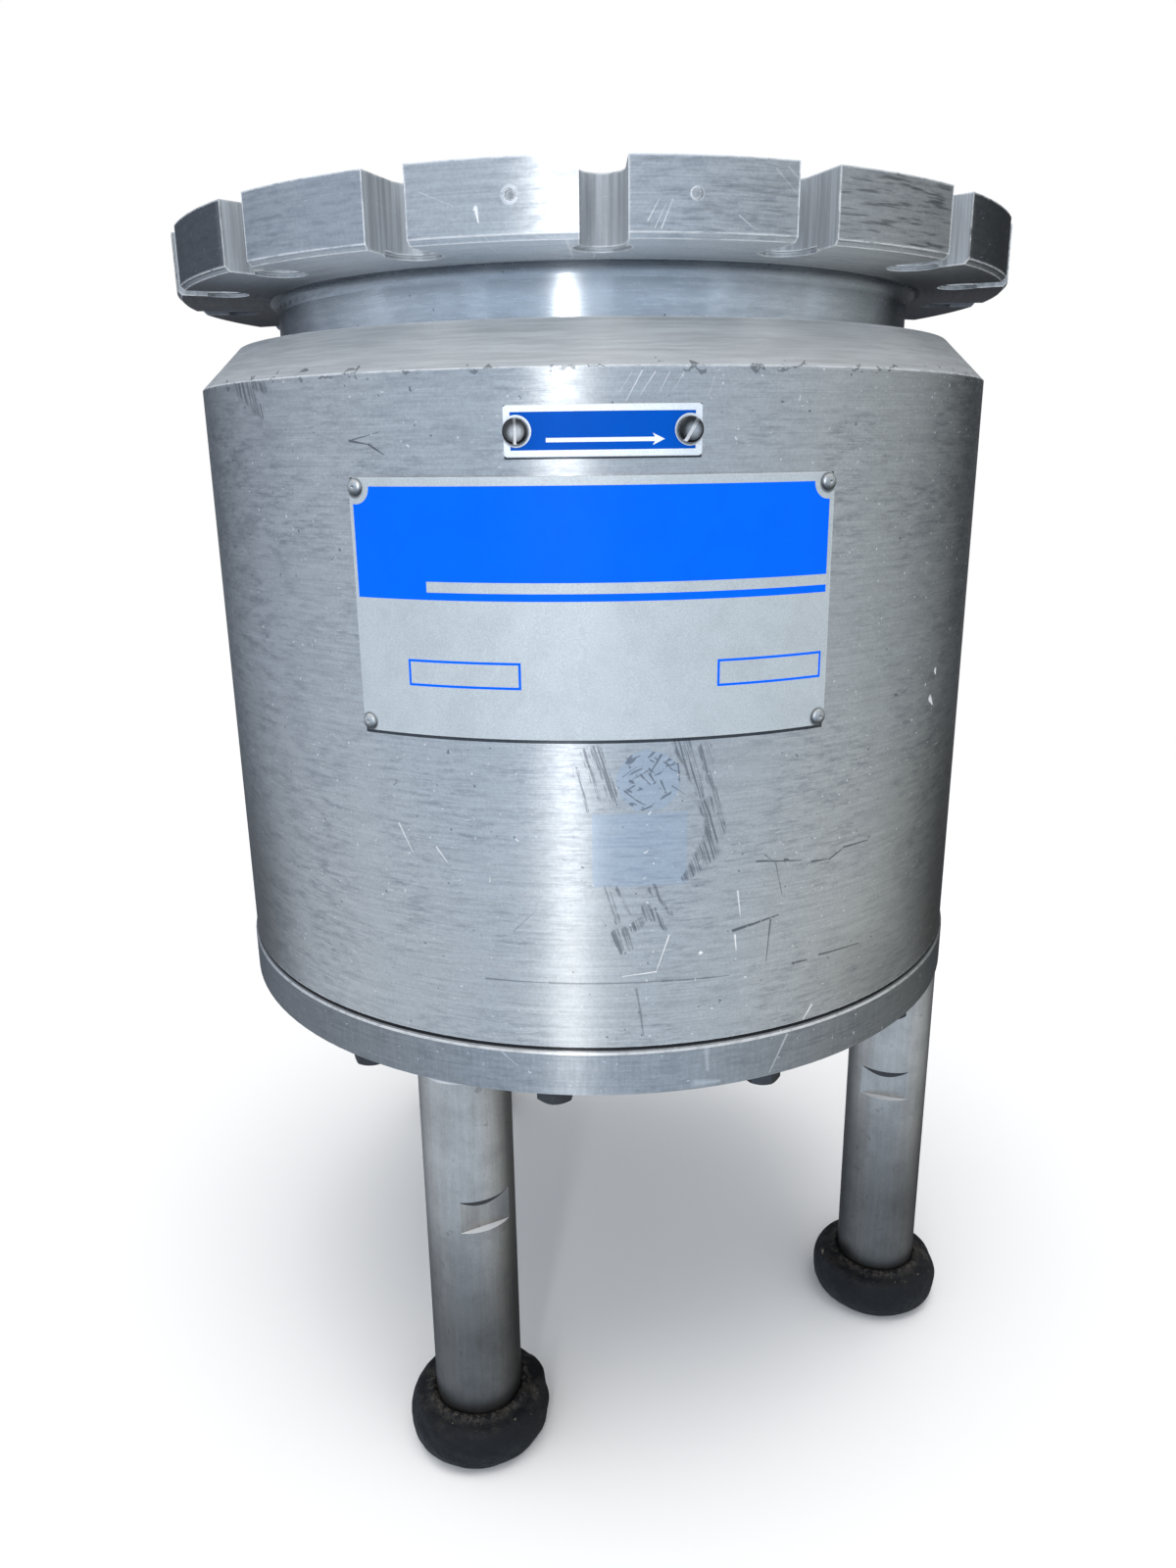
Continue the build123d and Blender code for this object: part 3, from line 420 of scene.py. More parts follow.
LIGHT_STROKES = [
    ((36, -178.5), (37, -186), 0.6, 0.6), ((35.5, -191.5), (36, -196), 0.6, 0.7),
    ((25.5, -195.5), (26, -195.5), 0.9, 1.0), ((16.5, -189.5), (13, -200), (3.5, -201), 0.4, 0.7),
    ((62, -218.5), (59, -222.5), 0.6, 0.8), ((9, -44.5), (5, -51.5), 0.35, 0.6),
    ((12, -45), (8.5, -50), 0.3, 0.6), ((15.5, -45), (13, -49.5), 0.3, 0.5),
    ((19, -45), (16.5, -49), 0.3, 0.45), ((6.5, -45), (3.5, -49.5), 0.3, 0.45),
    ((26.5, -46), (25, -50.5), 0.3, 0.4), ((111.5, -134.5), (113.5, -136.5), 1.6, 1.0),
    ((114, -126.5), (114.5, -127.5), 1.4, 1.0), ((-59, -160), (-55, -168), 0.5, 0.6),
    ((-47.5, -165.5), (-44.5, -169.5), 0.6, 0.6),
]
RING_STROKES = [
    ((53, -225.5), (47.5, -236.5), 0.7, 0.8), ((27.5, -225.5), (28, -232), 1.9, 0.5),
    ((24.5, -235.5), (31.5, -236), 3.0, 0.5), ((-30.5, -225), (-26, -229), 0.5, 0.6),
]
RIM_STROKES = [
    ((-28, -10), (-27.5, -13), 0.7, 1.0), ((-28, -10), (-28.5, -10.5), 0.5, 0.9),
    ((-41, -6), (-33, -9.5), 0.3, 0.4), ((9.5, -13.5), (12, -9), 0.3, 0.6),
    ((11, -15), (13.5, -10), 0.3, 0.5), ((12.5, -15), (15, -9), 0.3, 0.6), ((38.5, -2), (44, -7), 0.3, 0.4),
    ((41.5, -1.5), (45, -4.5), 0.3, 0.4), ((-51, -3), (-50, -14), 0.4, 0.5),
    ((55, -2.5), (55.5, -13), 0.4, 0.5), ((30, -12), (33.5, -14.5), 0.3, 0.5),
]

# Scratches all over the wall: angle in degrees, length and width
FINE_SCRATCHES = [(64, 2.6, 0.22), (-57, 3.2, 0.2), (28, 3.4, 0.2), (8, 6.0, 0.3)]

# Punch marks in the rim, each a hole painted in shade and a burr painted as a highlight: distance round,
# level, radius of the hole and of its burr, strength of the burr
PUNCH_MARKS = [(-21.1, -7.7, 1.35, 2.1, 0.65), (21.1, -7.8, 1.3, 1.7, 0.35)]


def tone(colour, amount):
    """A darker or lighter colour."""
    return tuple(amount * channel for channel in colour)


class TurnedFinish(Finish):
    """Lathe-turned metal, whose marks run round the axis."""

    def __init__(self, name, base, tarnish, roughness, wear=1.0):
        super().__init__(name, base)
        fine = self.grain(30.0, 0.30, 1.0)
        rows = self.grain(55.0, 1.1, 2.0, 0.6)
        smudge = self.grain(7.0, 1.3, 3.0, 0.68)
        cloud = self.spots(30.0, 2.0, 0.55)
        grit = self.spots(0.8, 2.0, 0.6)
        self.paint(smudge.ease(0.42, 0.76) * cloud.ease(0.36, 0.64, 0.06, 0.55) * wear, tarnish)
        self.shade(rows.vary(-0.06, 0.06) * wear + fine.ease(0.25, 0.75, 0.93, 1.06))
        self.shade(grit.vary(0.94, 1.05))
        self.rough = rows.vary(-0.03, 0.03) + smudge.vary(roughness, roughness + 0.06)
        self.height = rows * 1.2 + fine

    def turned(self, depth, pull, metallic=1.0):
        relief = self.bump(self.height, depth, 0.6)
        return self.done(Metallic=metallic, Roughness=self.rough, Normal=relief, **self.pulled(pull))


class BodyFinish(TurnedFinish):
    """The housing's aluminium, with worn edges that carry a painted highlight, painted shade, rubs, scratches
    and the clean patches of two old stickers.
    """

    def __init__(self, metal):
        super().__init__("body_aluminium", tuple(metal.body), tuple(metal.tarnish), metal.roughness)
        self.turn = self.arc(DEGREES)
        self.side = abs(self.turn)
        flange = self.z > -FLANGE_THICKNESS - 0.05
        below_flange = self.z.within(SHOULDER_TOP, -FLANGE_THICKNESS - 0.3)
        upright = self.rise.within(-0.25, 0.25)
        self.wall = (self.radius > BODY_RADIUS - 0.6) * (self.z < SHOULDER_LOW)
        self.rim = (self.radius > FLANGE_RADIUS - 0.3) * flange
        self.slot = self.radius.within(NECK_RADIUS + 2, FLANGE_RADIUS - 0.12) * flange * upright
        self.neck = self.radius.within(NECK_RADIUS - 0.5, NECK_RADIUS + 4) * below_flange
        self.slope = self.rise.within(0.3, 0.95) * self.z.within(SHOULDER_LOW - 0.1, SHOULDER_TOP + 0.1)
        self.under = self.rise < -0.9
        self.mill()
        self.mark_rim()
        self.mark_front()
        self.soil_and_shade()
        self.wear()

    def mill(self):
        """Pale, even slot walls, a matte shoulder, a smooth neck, and painted shade on the neck and the
        down-facing faces towards the sides, on the neck below the flange, and on the slot walls and the rim
        towards the sides.
        """
        milled = self.streaks((1.3, 1.3, 40.0))
        self.paint(self.slot * 0.85, self.dim((0.56, 0.585, 0.61), milled.ease(0.35, 0.65, 0.74, 1.10)))
        self.paint(self.slope * 0.85, self.dim((0.77, 0.77, 0.76), self.grain(18.0, 0.5).vary(0.90, 1.07)))
        self.paint(self.neck * 0.75, (0.66, 0.70, 0.745))
        # Painted shade: the neck and the faces that look down darken towards the sides, the neck darkens
        # under the flange, and the slot walls and the rim darken towards the sides
        shaded_sides = (self.neck | self.under) * self.side.ease(36.0, 72.0, 0.0, 0.9)
        flange_shadow = self.neck * self.z.ease(SHOULDER_TOP + 6, -FLANGE_THICKNESS, 0.0, 0.5)
        shaded_slot_sides = self.slot * self.side.ease(68.0, 80.0) * self.side.ease(130.0, 116.0) * 0.85
        self.painted_shade = shaded_sides | flange_shadow | shaded_slot_sides
        dark_rim_sides = self.rim * self.side.ease(45.0, 49.0) * self.side.ease(120.0, 90.0) * 0.88
        self.paint(self.painted_shade | dark_rim_sides, (0.06, 0.07, 0.09))
        self.rough = self.slot * 0.20 + self.neck * -0.16 + self.slope * 0.24 + self.under * 0.10 + self.rough

    def mark_rim(self):
        """Painted shade darkens the rim towards the right, one block is duller, and each punch mark has a
        broken burr painted as a highlight round a hole painted in shade.
        """
        self.paint(self.rim * self.turn.within(-45.0, -22.5) * 0.35, (0.25, 0.30, 0.38))
        # Painted shade, in patches, on the rim towards the right
        shade_patches = self.grain(13.0, 1.1, 2.0, 0.6).ease(0.50, 0.68, 0.32, 0.82)
        right = self.rim * self.turn.ease(-4.0, 36.0) * self.turn.ease(120.0, 90.0)
        self.paint(right * shade_patches, (0.10, 0.11, 0.12))
        broken = self.spots(1.4, 1.0, 0.5, 4.0).ease(0.40, 0.50, 0.15, 1.0)
        # Each burr is painted bright as a highlight, and each hole is painted dark as shade
        for across, level, hole, burr, strength in PUNCH_MARKS:
            gap = self.gap(across, level, FLANGE_RADIUS)
            self.paint(self.rim * gap.within(hole, burr) * broken * strength, BRIGHT)
            self.paint(self.rim * gap.within(0.7, hole) * 0.8, (0.10, 0.10, 0.12))

    def mark_front(self):
        """Clean patches, rubs, scratches, specks and pits."""
        arc, flat = self.arc(BODY_RADIUS), self.unrolled()
        wander = self.spots(2.4, 1.0).ease(0.0, 1.0, -0.7, 0.7)
        shaky = self.combine(arc + wander, self.z + wander)
        disc = self.distance(shaky, (*CLEAN_DISC, 0.0)) < CLEAN_DISC_RADIUS
        self.clean = (self.inside(CLEAN_TAPE) | disc) * self.wall
        self.paint(self.clean * 0.42, (0.46, 0.56, 0.70))
        slanting = self.combine(arc * 1.5 + self.z * 0.45, self.z * 0.06)
        hatch = self.noise(slanting, 2.0, 0.7).ease(0.40, 0.60)
        rub = self.strokes(shaky, RUB_STROKES).ease(0.05, 0.45) * hatch * 0.8
        creases = self.hairs(flat, 34, 4.4, 1.5, 0.60) | self.hairs(flat, -40, 3.6, 1.3, 0.63)
        dark = self.strokes(flat, DARK_STROKES).ease(0.2, 0.75) | rub | creases * disc * 0.75
        self.paint(dark * self.wall * 0.8, (0.10, 0.11, 0.135))
        light = self.strokes(flat, LIGHT_STROKES).ease(0.1, 0.7) * self.wall
        light |= self.strokes(flat, RIM_STROKES).ease(0.1, 0.7) * self.rim
        for number, (angle, length, width) in enumerate(FINE_SCRATCHES):
            place = self.vector("ADD", flat, (number * 37.0, number * 71.0, 0.0))
            light |= self.hairs(place, angle, length, width, 0.735) * 0.45
        light |= self.spots(0.9, 0.0, 0.5, 5.0).ease(0.80, 0.85) * self.wall * 0.6
        self.light = light
        self.paint(light * 0.75, BRIGHT)
        pits = self.spots(1.7, 1.0, 0.5, 11.0).ease(0.76, 0.79) * (self.wall | self.neck)
        self.paint(pits * 0.6, (0.08, 0.085, 0.10))
        self.shade(self.wall * self.z.ease(-60.0, -190.0, -0.06, 0.03) + 1.0)

    def soil_and_shade(self):
        """Grime round the sides, painted shade low down towards the sides, a warmer and darker tint towards
        the bottom, and a painted shadow line below and beside each plate.
        """
        beside = self.side.ease(27.0, 58.0) * self.side.ease(140.0, 95.0, 0.3, 1.0) * self.wall
        grime = self.grain(12.0, 3.2, 3.0, 0.66).ease(0.44, 0.72)
        self.paint(beside * grime * 0.42, (0.16, 0.175, 0.21))
        low = self.z.ease(-110.0, -212.0)
        facing = self.side.ease(130.0, 100.0) * self.wall
        # Painted shade low down towards the sides
        low_side_shade = low * (self.turn.ease(34.0, 62.0, 0.0, 0.8) | self.turn.ease(-42.0, -64.0, 0.0, 0.8))
        low_side_shade |= self.z.ease(-192.0, -216.0) * self.turn.ease(18.0, 50.0, 0.0, 0.45)
        self.paint(low_side_shade * facing, (0.14, 0.14, 0.135))
        # Warmer and darker towards the bottom
        self.paint(low * facing, (1.0, 0.975, 0.935), "MULTIPLY")
        # Painted shadow: a dark line below and beside each plate
        line = self.inside((*PLATE_ARC, PLATE_BOTTOM - 1.0, PLATE_TOP))
        line |= self.inside((*SMALL_PLATE_ARC, SMALL_PLATE_BOTTOM - 0.5, SMALL_PLATE_TOP))
        self.paint(line * self.wall * 0.9, (0.035, 0.04, 0.05))

    def wear(self):
        """Worn edges are painted bright as wear and a painted highlight, the groove above the base is painted
        in shade, and the shoulder's lower edge is chipped.
        """
        # Painted shade fills the groove above the base
        groove_shade = self.z < BASE_TOP + 0.7
        self.paint(groove_shade * 0.95, (0.02, 0.02, 0.025))
        # Edges painted bright: wear, and a painted highlight
        patchy = self.spots(3.5, 3.0, 0.65).ease(0.34, 0.52, 0.45, 1.0)
        self.worn = self.edge(0.8) * (1.0 - groove_shade) * patchy * (1.0 - self.painted_shade)
        self.paint(self.worn, (0.95, 0.95, 0.94))
        ragged = self.spots(3.0, 2.0).vary(-1.6, 1.6)
        lip = (self.z + ragged).within(SHOULDER_LOW - 0.5, SHOULDER_LOW + 0.5)
        self.paint(lip * self.spots(6.0, 2.0, 0.5, 3.0).ease(0.56, 0.60) * 0.6, (0.13, 0.14, 0.15))
        self.rough = self.light * 0.15 + self.clean * -0.05 + self.worn * -0.12 + self.rough


def body_finish():
    metal = bpy.context.scene.pump_metal
    finish = BodyFinish(metal)
    metallic = 1.0 - (finish.light | finish.worn | finish.slot * 0.62) * 0.85
    return finish.turned(metal.grain_depth, finish.slope * -0.6 + 0.93, metallic)


def ring_finish():
    """The base plate's darker turned metal, with painted shade towards the sides and in the gap under the
    body.
    """
    metal = bpy.context.scene.pump_metal
    colours = tone(metal.body, 0.70), tone(metal.tarnish, 0.7)
    finish = TurnedFinish("base_aluminium", *colours, metal.roughness - 0.06, 0.7)
    place = finish.unrolled()
    upright = finish.noise(finish.vector("DIVIDE", place, (1.1, 9.0, 1.0)), 2.0, 0.6)
    finish.shade(upright.vary(0.94, 1.05))
    # Painted shade: the ring darkens towards the sides
    side = abs(finish.arc(DEGREES))
    finish.shade(side.ease(6.0, 42.0, 1.0, 0.64) | side.ease(95.0, 130.0, 0.64, 0.85))
    specks = finish.spots(1.3, 0.0, 0.5, 5.0).ease(0.80, 0.84)
    finish.paint((finish.strokes(place, RING_STROKES).ease(0.1, 0.7) | specks) * 0.6, PALE_WEAR_AND_LIGHT)
    chamfer = finish.rise.within(0.3, 0.95) * (finish.radius > BODY_RADIUS + 0.15)
    finish.paint(chamfer * finish.spots(3.5, 3.0, 0.65).ease(0.34, 0.52, 0.55, 0.9), BRIGHT)
    # Painted shade in the gap under the body
    gap = (finish.z > BASE_TOP - 1.5) * (finish.radius < BODY_RADIUS - 0.2)
    finish.paint(gap * 0.9, (0.015, 0.015, 0.018))
    return finish.turned(metal.grain_depth, 0.93)


def metal_finish(name, base, tarnish, roughness, wear=0.5):
    """A plainer turned metal."""
    return TurnedFinish(name, base, tarnish, roughness, wear).turned(0.00001, 0.6)


def even_metal(name, base, dark, roughness, size=1.2):
    """Blasted, plated or oxidised metal with a fine even grain and rubbed edges."""
    finish = Finish(name, base)
    blotch = finish.spots(size * 7, 3.0, 0.6)
    grit = finish.spots(size * 0.4, 2.0, 0.6)
    finish.paint(blotch.ease(0.35, 0.7, 0.0, 0.6), dark)
    finish.shade(grit.vary(0.86, 1.08))
    rubbed = finish.edge(0.25) * blotch.ease(0.35, 0.6, 0.1, 0.5)
    finish.paint(rubbed, tuple(min(1.0, 1.6 * channel + 0.08) for channel in base))
    rough = blotch.vary(roughness - 0.06, roughness + 0.09)
    return finish.done(Metallic=1.0, Roughness=rough, Normal=finish.bump(grit, 0.00003, 0.5))


def head_finish(name, base, slots=()):
    """Plated round heads, painted dark as shade round their edge and below, with a painted sheen near the
    middle of slotted heads, and slots painted bright as wear and a painted highlight.
    """
    finish = Finish(name, base)
    blotch = finish.spots(2.0, 3.0, 0.6)
    finish.paint(blotch.ease(0.35, 0.7, 0.0, 0.6), tone(base, 0.5))
    # Painted shade on the faces that turn down
    finish.shade(finish.rise.ease(-0.5, 0.3, 0.20, 1.05))
    worn = 0.0
    for across, level, lean in slots:
        beside = finish.arc(BODY_RADIUS) - across
        above = finish.z - level
        gap = finish.distance(finish.combine(beside, above), (0.35, -0.3, 0.0))
        near = gap < 5.0
        # Painted shade towards each slotted head's edge, leaving a painted sheen near its middle
        finish.shade(gap.ease(0.5, 2.5, 1.0, 0.10) | (1.0 - near))
        lean = math.radians(lean)
        # The slot is painted bright: wear, and a painted highlight strongest on its lower half
        line = abs(beside * math.cos(lean) + above * -math.sin(lean)) < 0.42
        worn = worn | line * near * above.ease(1.8, 0.2, 0.25, 1.0)
    finish.paint(worn * 0.9, (0.92, 0.92, 0.92))
    relief = finish.bump(blotch, 0.00005, 0.5)
    return finish.done(Metallic=1.0 - worn * 0.8, Roughness=blotch.vary(0.26, 0.40), Normal=relief)


def leg_finish(name, centre, flat_top):
    """Satin steel with painted shade towards the foot and round the sides, ledges facing up painted as
    highlights, and fine upright handling marks.
    """
    leg = tuple(bpy.context.scene.pump_metal.leg)
    finish = Finish(name, leg, centre)
    cloud = finish.spots(15.0, 3.0, 0.65)
    grit = finish.spots(0.5, 2.0, 0.6)
    finish.paint(cloud.ease(0.35, 0.7, 0.0, 0.5), tone(leg, 0.62))
    finish.shade(finish.streaks((1.2, 1.2, 26.0), 3.0, 0.6).vary(0.94, 1.05))
    finish.shade(grit.vary(0.93, 1.06))
    finish.paint(finish.spots(5.0, 3.0, 0.65, 9.0).ease(0.62, 0.72) * 0.4, tone(leg, 0.3))
    # Painted shade: darker towards the foot
    finish.shade(finish.z.ease(FLOOR_LEVEL + 40, BASE_BOTTOM - 22, 0.29, 1.0))
    # Painted shade round the leg's sides, fading out again at the back
    beside = abs(finish.arc(DEGREES) + 12.0)
    finish.shade(beside.ease(35.0, 85.0, 1.0, 0.42) | beside.ease(95.0, 130.0, 0.42, 1.0))
    # Ledges that face up are painted pale and dull as highlights, and the edges pale as wear and a painted
    # highlight
    lit_ledge = finish.rise.ease(0.3, 0.7)
    finish.paint(lit_ledge * 0.9 | finish.edge(0.3) * 0.35, PALE_WEAR_AND_LIGHT)

    # The shadow that each flat's upper ledge casts
    drop = flat_top - finish.z
    cut = LEG_RADIUS - finish.radius
    shadow = (drop > -0.3) * (cut > 0.12) * (drop < cut * 1.25 + 0.25)
    finish.paint(shadow * 0.97, (0.012, 0.012, 0.014))
    metallic = (0.95 - lit_ledge * 0.75) * (1.0 - shadow)
    return finish.done(Metallic=metallic, Roughness=cloud.vary(0.36, 0.46),
                       Normal=finish.bump(grit, 0.00002, 0.4), **finish.pulled(0.6, 0.0))


def rubber_finish(name, centre, rubber, dust, top_level, chipped):
    """Dull black rubber with some dust, a few pale grains and chips on its upper side."""
    finish = Finish(name, rubber, centre)
    rise = finish.rise.ease(0.35, 0.85)
    cloud = finish.spots(8.0, 4.0, 0.65)
    patch = rise * cloud.ease(0.48, 0.70) * 0.25
    near_leg = finish.radius.ease(18.5, 15.0) * rise * finish.spots(1.6, 3.0, 0.7, 3.0).ease(0.42, 0.62)
    finish.paint(patch | near_leg * 0.45, dust)
    grain = finish.spots(1.0, 1.0, 0.5, 7.0).ease(0.70, 0.77) * rise.ease(0.2, 0.9)
    lip = (cloud * 2.0 + finish.z).within(top_level - 1.3, top_level - 0.2) * (finish.radius > 20.0)
    chip = lip * finish.spots(4.0, 1.0, 0.5, 2.0).ease(0.60, 0.66) * chipped
    finish.paint((grain * 0.6 | chip) * 0.8, (0.27, 0.235, 0.19))
    worn = finish.spots(3.0, 3.0, 0.6)
    relief = finish.bump(grain * 1.5 + cloud * 1.5 + worn, 0.0007, 0.7)
    return finish.done(Roughness=worn.vary(0.42, 0.62), Normal=relief, Specular_IOR_Level=0.22)


def plain_finish(name, base, dark, roughness, size=2.0, depth=0.00006, level=0.5):
    """A non-metal with soft blotches and a fine grain."""
    finish = Finish(name, base)
    blotch = finish.spots(size * 4, 3.0, 0.6)
    finish.paint(blotch.ease(0.35, 0.7), dark)
    relief = finish.bump(finish.spots(size * 0.3, 2.0, 0.6), depth, 0.4)
    rough = blotch.vary(roughness - 0.05, roughness + 0.08)
    return finish.done(Roughness=rough, Normal=relief, Specular_IOR_Level=level)


def winding_finish(name):
    """Varnished copper: turns of wire side by side, with painted shade in the gaps between them."""
    finish = Finish(name, (0.62, 0.24, 0.09))
    turn = finish.arc(96.0).sine()
    loose = finish.spots(3.0, 2.0)
    finish.paint(loose, (0.36, 0.12, 0.05))
    # Painted shade in the gaps between the turns
    finish.shade(turn.ease(-1.0, 1.0, 0.25, 1.0))
    return finish.done(Metallic=0.85, Roughness=loose.vary(0.28, 0.42), Normal=finish.bump(turn, 0.0004, 0.8),
                       Coat_Weight=0.4)


def lamination_finish(name):
    """Stacked iron sheets, each a third of a millimetre thick."""
    finish = Finish(name, (0.19, 0.19, 0.205))
    sheet = (finish.z * 18.0).sine()
    rust = finish.spots(6.0, 3.0, 0.6).ease(0.5, 0.75)
    finish.paint(rust * 0.4, (0.14, 0.085, 0.06))
    finish.shade(sheet.ease(-1.0, 1.0, 0.6, 1.05))
    relief = finish.bump(sheet, 0.00008, 0.6)
    return finish.done(Metallic=0.9, Roughness=rust.ease(0.0, 1.0, 0.42, 0.6), Normal=relief)


def plate_finish(name, bare, enamel, blue, white=None, heads=(), head_radius=RIVET_RADIUS):
    """Etched plate: enamel in the blue mask, white fill in the white one, and a painted shadow round each
    head.
    """
    finish = Finish(name, bare)
    flat = blue = blue(finish)
    speck = finish.spots(0.36, 3.0, 0.7)
    cloud = finish.spots(9.0, 3.0, 0.6)
    finish.paint(cloud.ease(0.35, 0.7), tone(bare, 0.93))
    finish.shade(speck.vary(0.86, 1.09))
    finish.paint(finish.spots(2.2, 3.0, 0.7).ease(0.66, 0.74) * 0.18, (0.2, 0.19, 0.18))
    finish.paint(finish.hairs(finish.unrolled(), 32, 4.0, 0.16, 0.76) * 0.35, PALE_WEAR_AND_LIGHT)
    finish.paint(finish.edge(0.3) * 0.4, PALE_WEAR_AND_LIGHT)
    finish.paint(blue, finish.blend(cloud.vary(0.0, 1.0), enamel, tone(enamel, 0.94)))
    if white:
        mark = white(finish)
        flat = blue | mark
        finish.paint(mark, (0.86, 0.87, 0.88))
    for across, level in heads:
        # Painted shadow round each head, offset down and to the left
        head_shadow = finish.gap(across - 0.12, level - 0.2).ease(head_radius + 0.75, head_radius, 0.0, 0.8)
        finish.paint(head_shadow, (0.06, 0.06, 0.065))
    relief = finish.bump(blue * 0.6 + speck * 0.35, 0.00005, 0.6)
    return finish.done(Metallic=flat * -0.55 + 0.55, Roughness=flat * -0.10 + 0.50, Normal=relief,
                       Specular_IOR_Level=0.05)


def dress(material, *nodes):
    """Gives CAD nodes a finish."""
    for name in nodes:
        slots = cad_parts[name].data.materials
        slots.clear()
        slots.append(material)


# Mesh pieces

def mesh_of(name, bm):
    bmesh.ops.recalc_face_normals(bm, faces=bm.faces)
    mesh = bpy.data.meshes.new(name)
    bm.to_mesh(mesh)
    bm.free()
    return mesh


def placed(name, data):
    """A new object in the scene."""
    made = bpy.data.objects.new(name, data)
    bpy.context.scene.collection.objects.link(made)
    return made


def piece(name, bm, material, slot, *replaced):
    """A finished mesh as a piece of the pump, in place of these CAD nodes."""
    mesh = mesh_of(name, bm)
    made = placed(name, mesh)
    mesh.materials.append(material)
    mesh.polygons.foreach_set("use_smooth", [True] * len(mesh.polygons))
    mesh.set_sharp_from_angle(angle=math.radians(38))
    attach(made, "stator")
    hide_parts(*replaced)


def around(turn, radius, level):
    """A place at an angle from the front, in metres."""
    return Vector((radius * math.sin(turn), -radius * math.cos(turn), level)) * MM


def outward(turn, radius, level):
    """A place on the body's wall whose own +Z points away from the axis."""
    facing = Matrix.Rotation(turn, 4, "Z") @ Matrix.Rotation(math.pi / 2, 4, "X")
    return Matrix.Translation(around(turn, radius, level)) @ facing


def lathe(bm, profile, segments, place, reshape=None):
    """Turns a half section of (radius, height) points about the place's own Z. Reshape moves each point."""
    rings = []
    for radius, height in profile:
        ring = []
        for step in range(segments):
            turn = 2 * math.pi * step / segments
            r, h = reshape(radius, height, turn) if reshape else (radius, height)
            ring.append(bm.verts.new(place @ (Vector((r * math.cos(turn), r * math.sin(turn), h)) * MM)))
        rings.append(ring)
    for lower, upper in zip(rings, rings[1:]):
        for step in range(segments):
            after = (step + 1) % segments
            bm.faces.new((lower[step], lower[after], upper[after], upper[step]))
    for ring in (rings[0], rings[-1]):
        bm.faces.new(ring)


def rolled_sheet(node, thickness, corner, columns, rows):
    """A sheet rolled round the body, as wide and tall as its CAD node, with rounded edges."""
    low, high = box_of(node)
    bottom, top = low[2], high[2]
    outer = BODY_RADIUS + thickness
    left, right = [math.asin(side[0] / outer) for side in (low, high)]
    middle, half = (left + right) / 2, (right - left) / 2 * outer
    soft = bpy.context.scene.pump_plates.edge_round / MM
    bm = bmesh.new()

    def half_width(level, inset):
        """Half the sheet's width at a level, less where a corner is rounded."""
        reach = corner - inset
        near = max(0.0, reach - (min(top - level, level - bottom) - inset))
        return half - inset - (reach - math.sqrt(max(0.0, reach * reach - near * near)))

    def layer(radius, inset):
        """Points at one radius, closer together towards the top and the bottom."""
        grid = []
        for row in range(rows + 1):
            share = row / rows
            share -= math.sin(2 * math.pi * share) / (2 * math.pi) * 0.6
            level = bottom + inset + (top - bottom - 2 * inset) * share
            width = half_width(level, inset)
            turns = [middle + width * (2 * column / columns - 1) / outer for column in range(columns + 1)]
            grid.append([bm.verts.new(around(turn, radius, level)) for turn in turns])
        return grid

    def rim(grid):
        sides = [line[-1] for line in grid[1:]], [line[0] for line in grid[-2:0:-1]]
        return grid[0] + sides[0] + grid[-1][-2::-1] + sides[1]

    face, shoulder, back = layer(outer, soft), layer(outer - soft, 0.0), layer(BODY_RADIUS + 0.02, 0.0)
    for grid, flip in ((face, False), (back, True)):
        for first, second in zip(grid, grid[1:]):
            for step in range(columns):
                corners = (first[step], first[step + 1], second[step + 1], second[step])
                bm.faces.new(corners[::-1] if flip else corners)
    for line in shoulder[1:-1]:
        for vert in line[1:-1]:
            bm.verts.remove(vert)
    for a, b in ((rim(face), rim(shoulder)), (rim(shoulder), rim(back))):
        for step in range(len(a)):
            after = (step + 1) % len(a)
            bm.faces.new((a[step], b[step], b[after], a[after]))
    return bm


def rivet_places():
    """The angle and the level of the four drive rivets."""
    low, high = box_of("nameplate_rivets")
    seen = 2.0  # a head's radius, as the front sees it
    wall = BODY_RADIUS + NAMEPLATE_THICKNESS
    turns = [math.asin(across / wall) for across in (low[0] + seen, high[0] - seen)]
    return [(turn, level) for turn in turns for level in (high[2] - RIVET_RADIUS, low[2] + RIVET_RADIUS)]


class PumpOperator(bpy.types.Operator):
    """What the pump's operators share."""

    bl_options = {"REGISTER", "UNDO"}


class PUMP_OT_body(PumpOperator):
    """Give the housing, base plate and bottom cover their turned aluminium"""

    bl_idname = "pump.body"
    bl_label = "Body metal"

    def execute(self, context):
        dress(body_finish(), "housing")
        dress(ring_finish(), "base_plate", "bottom_cover")
        return {"FINISHED"}


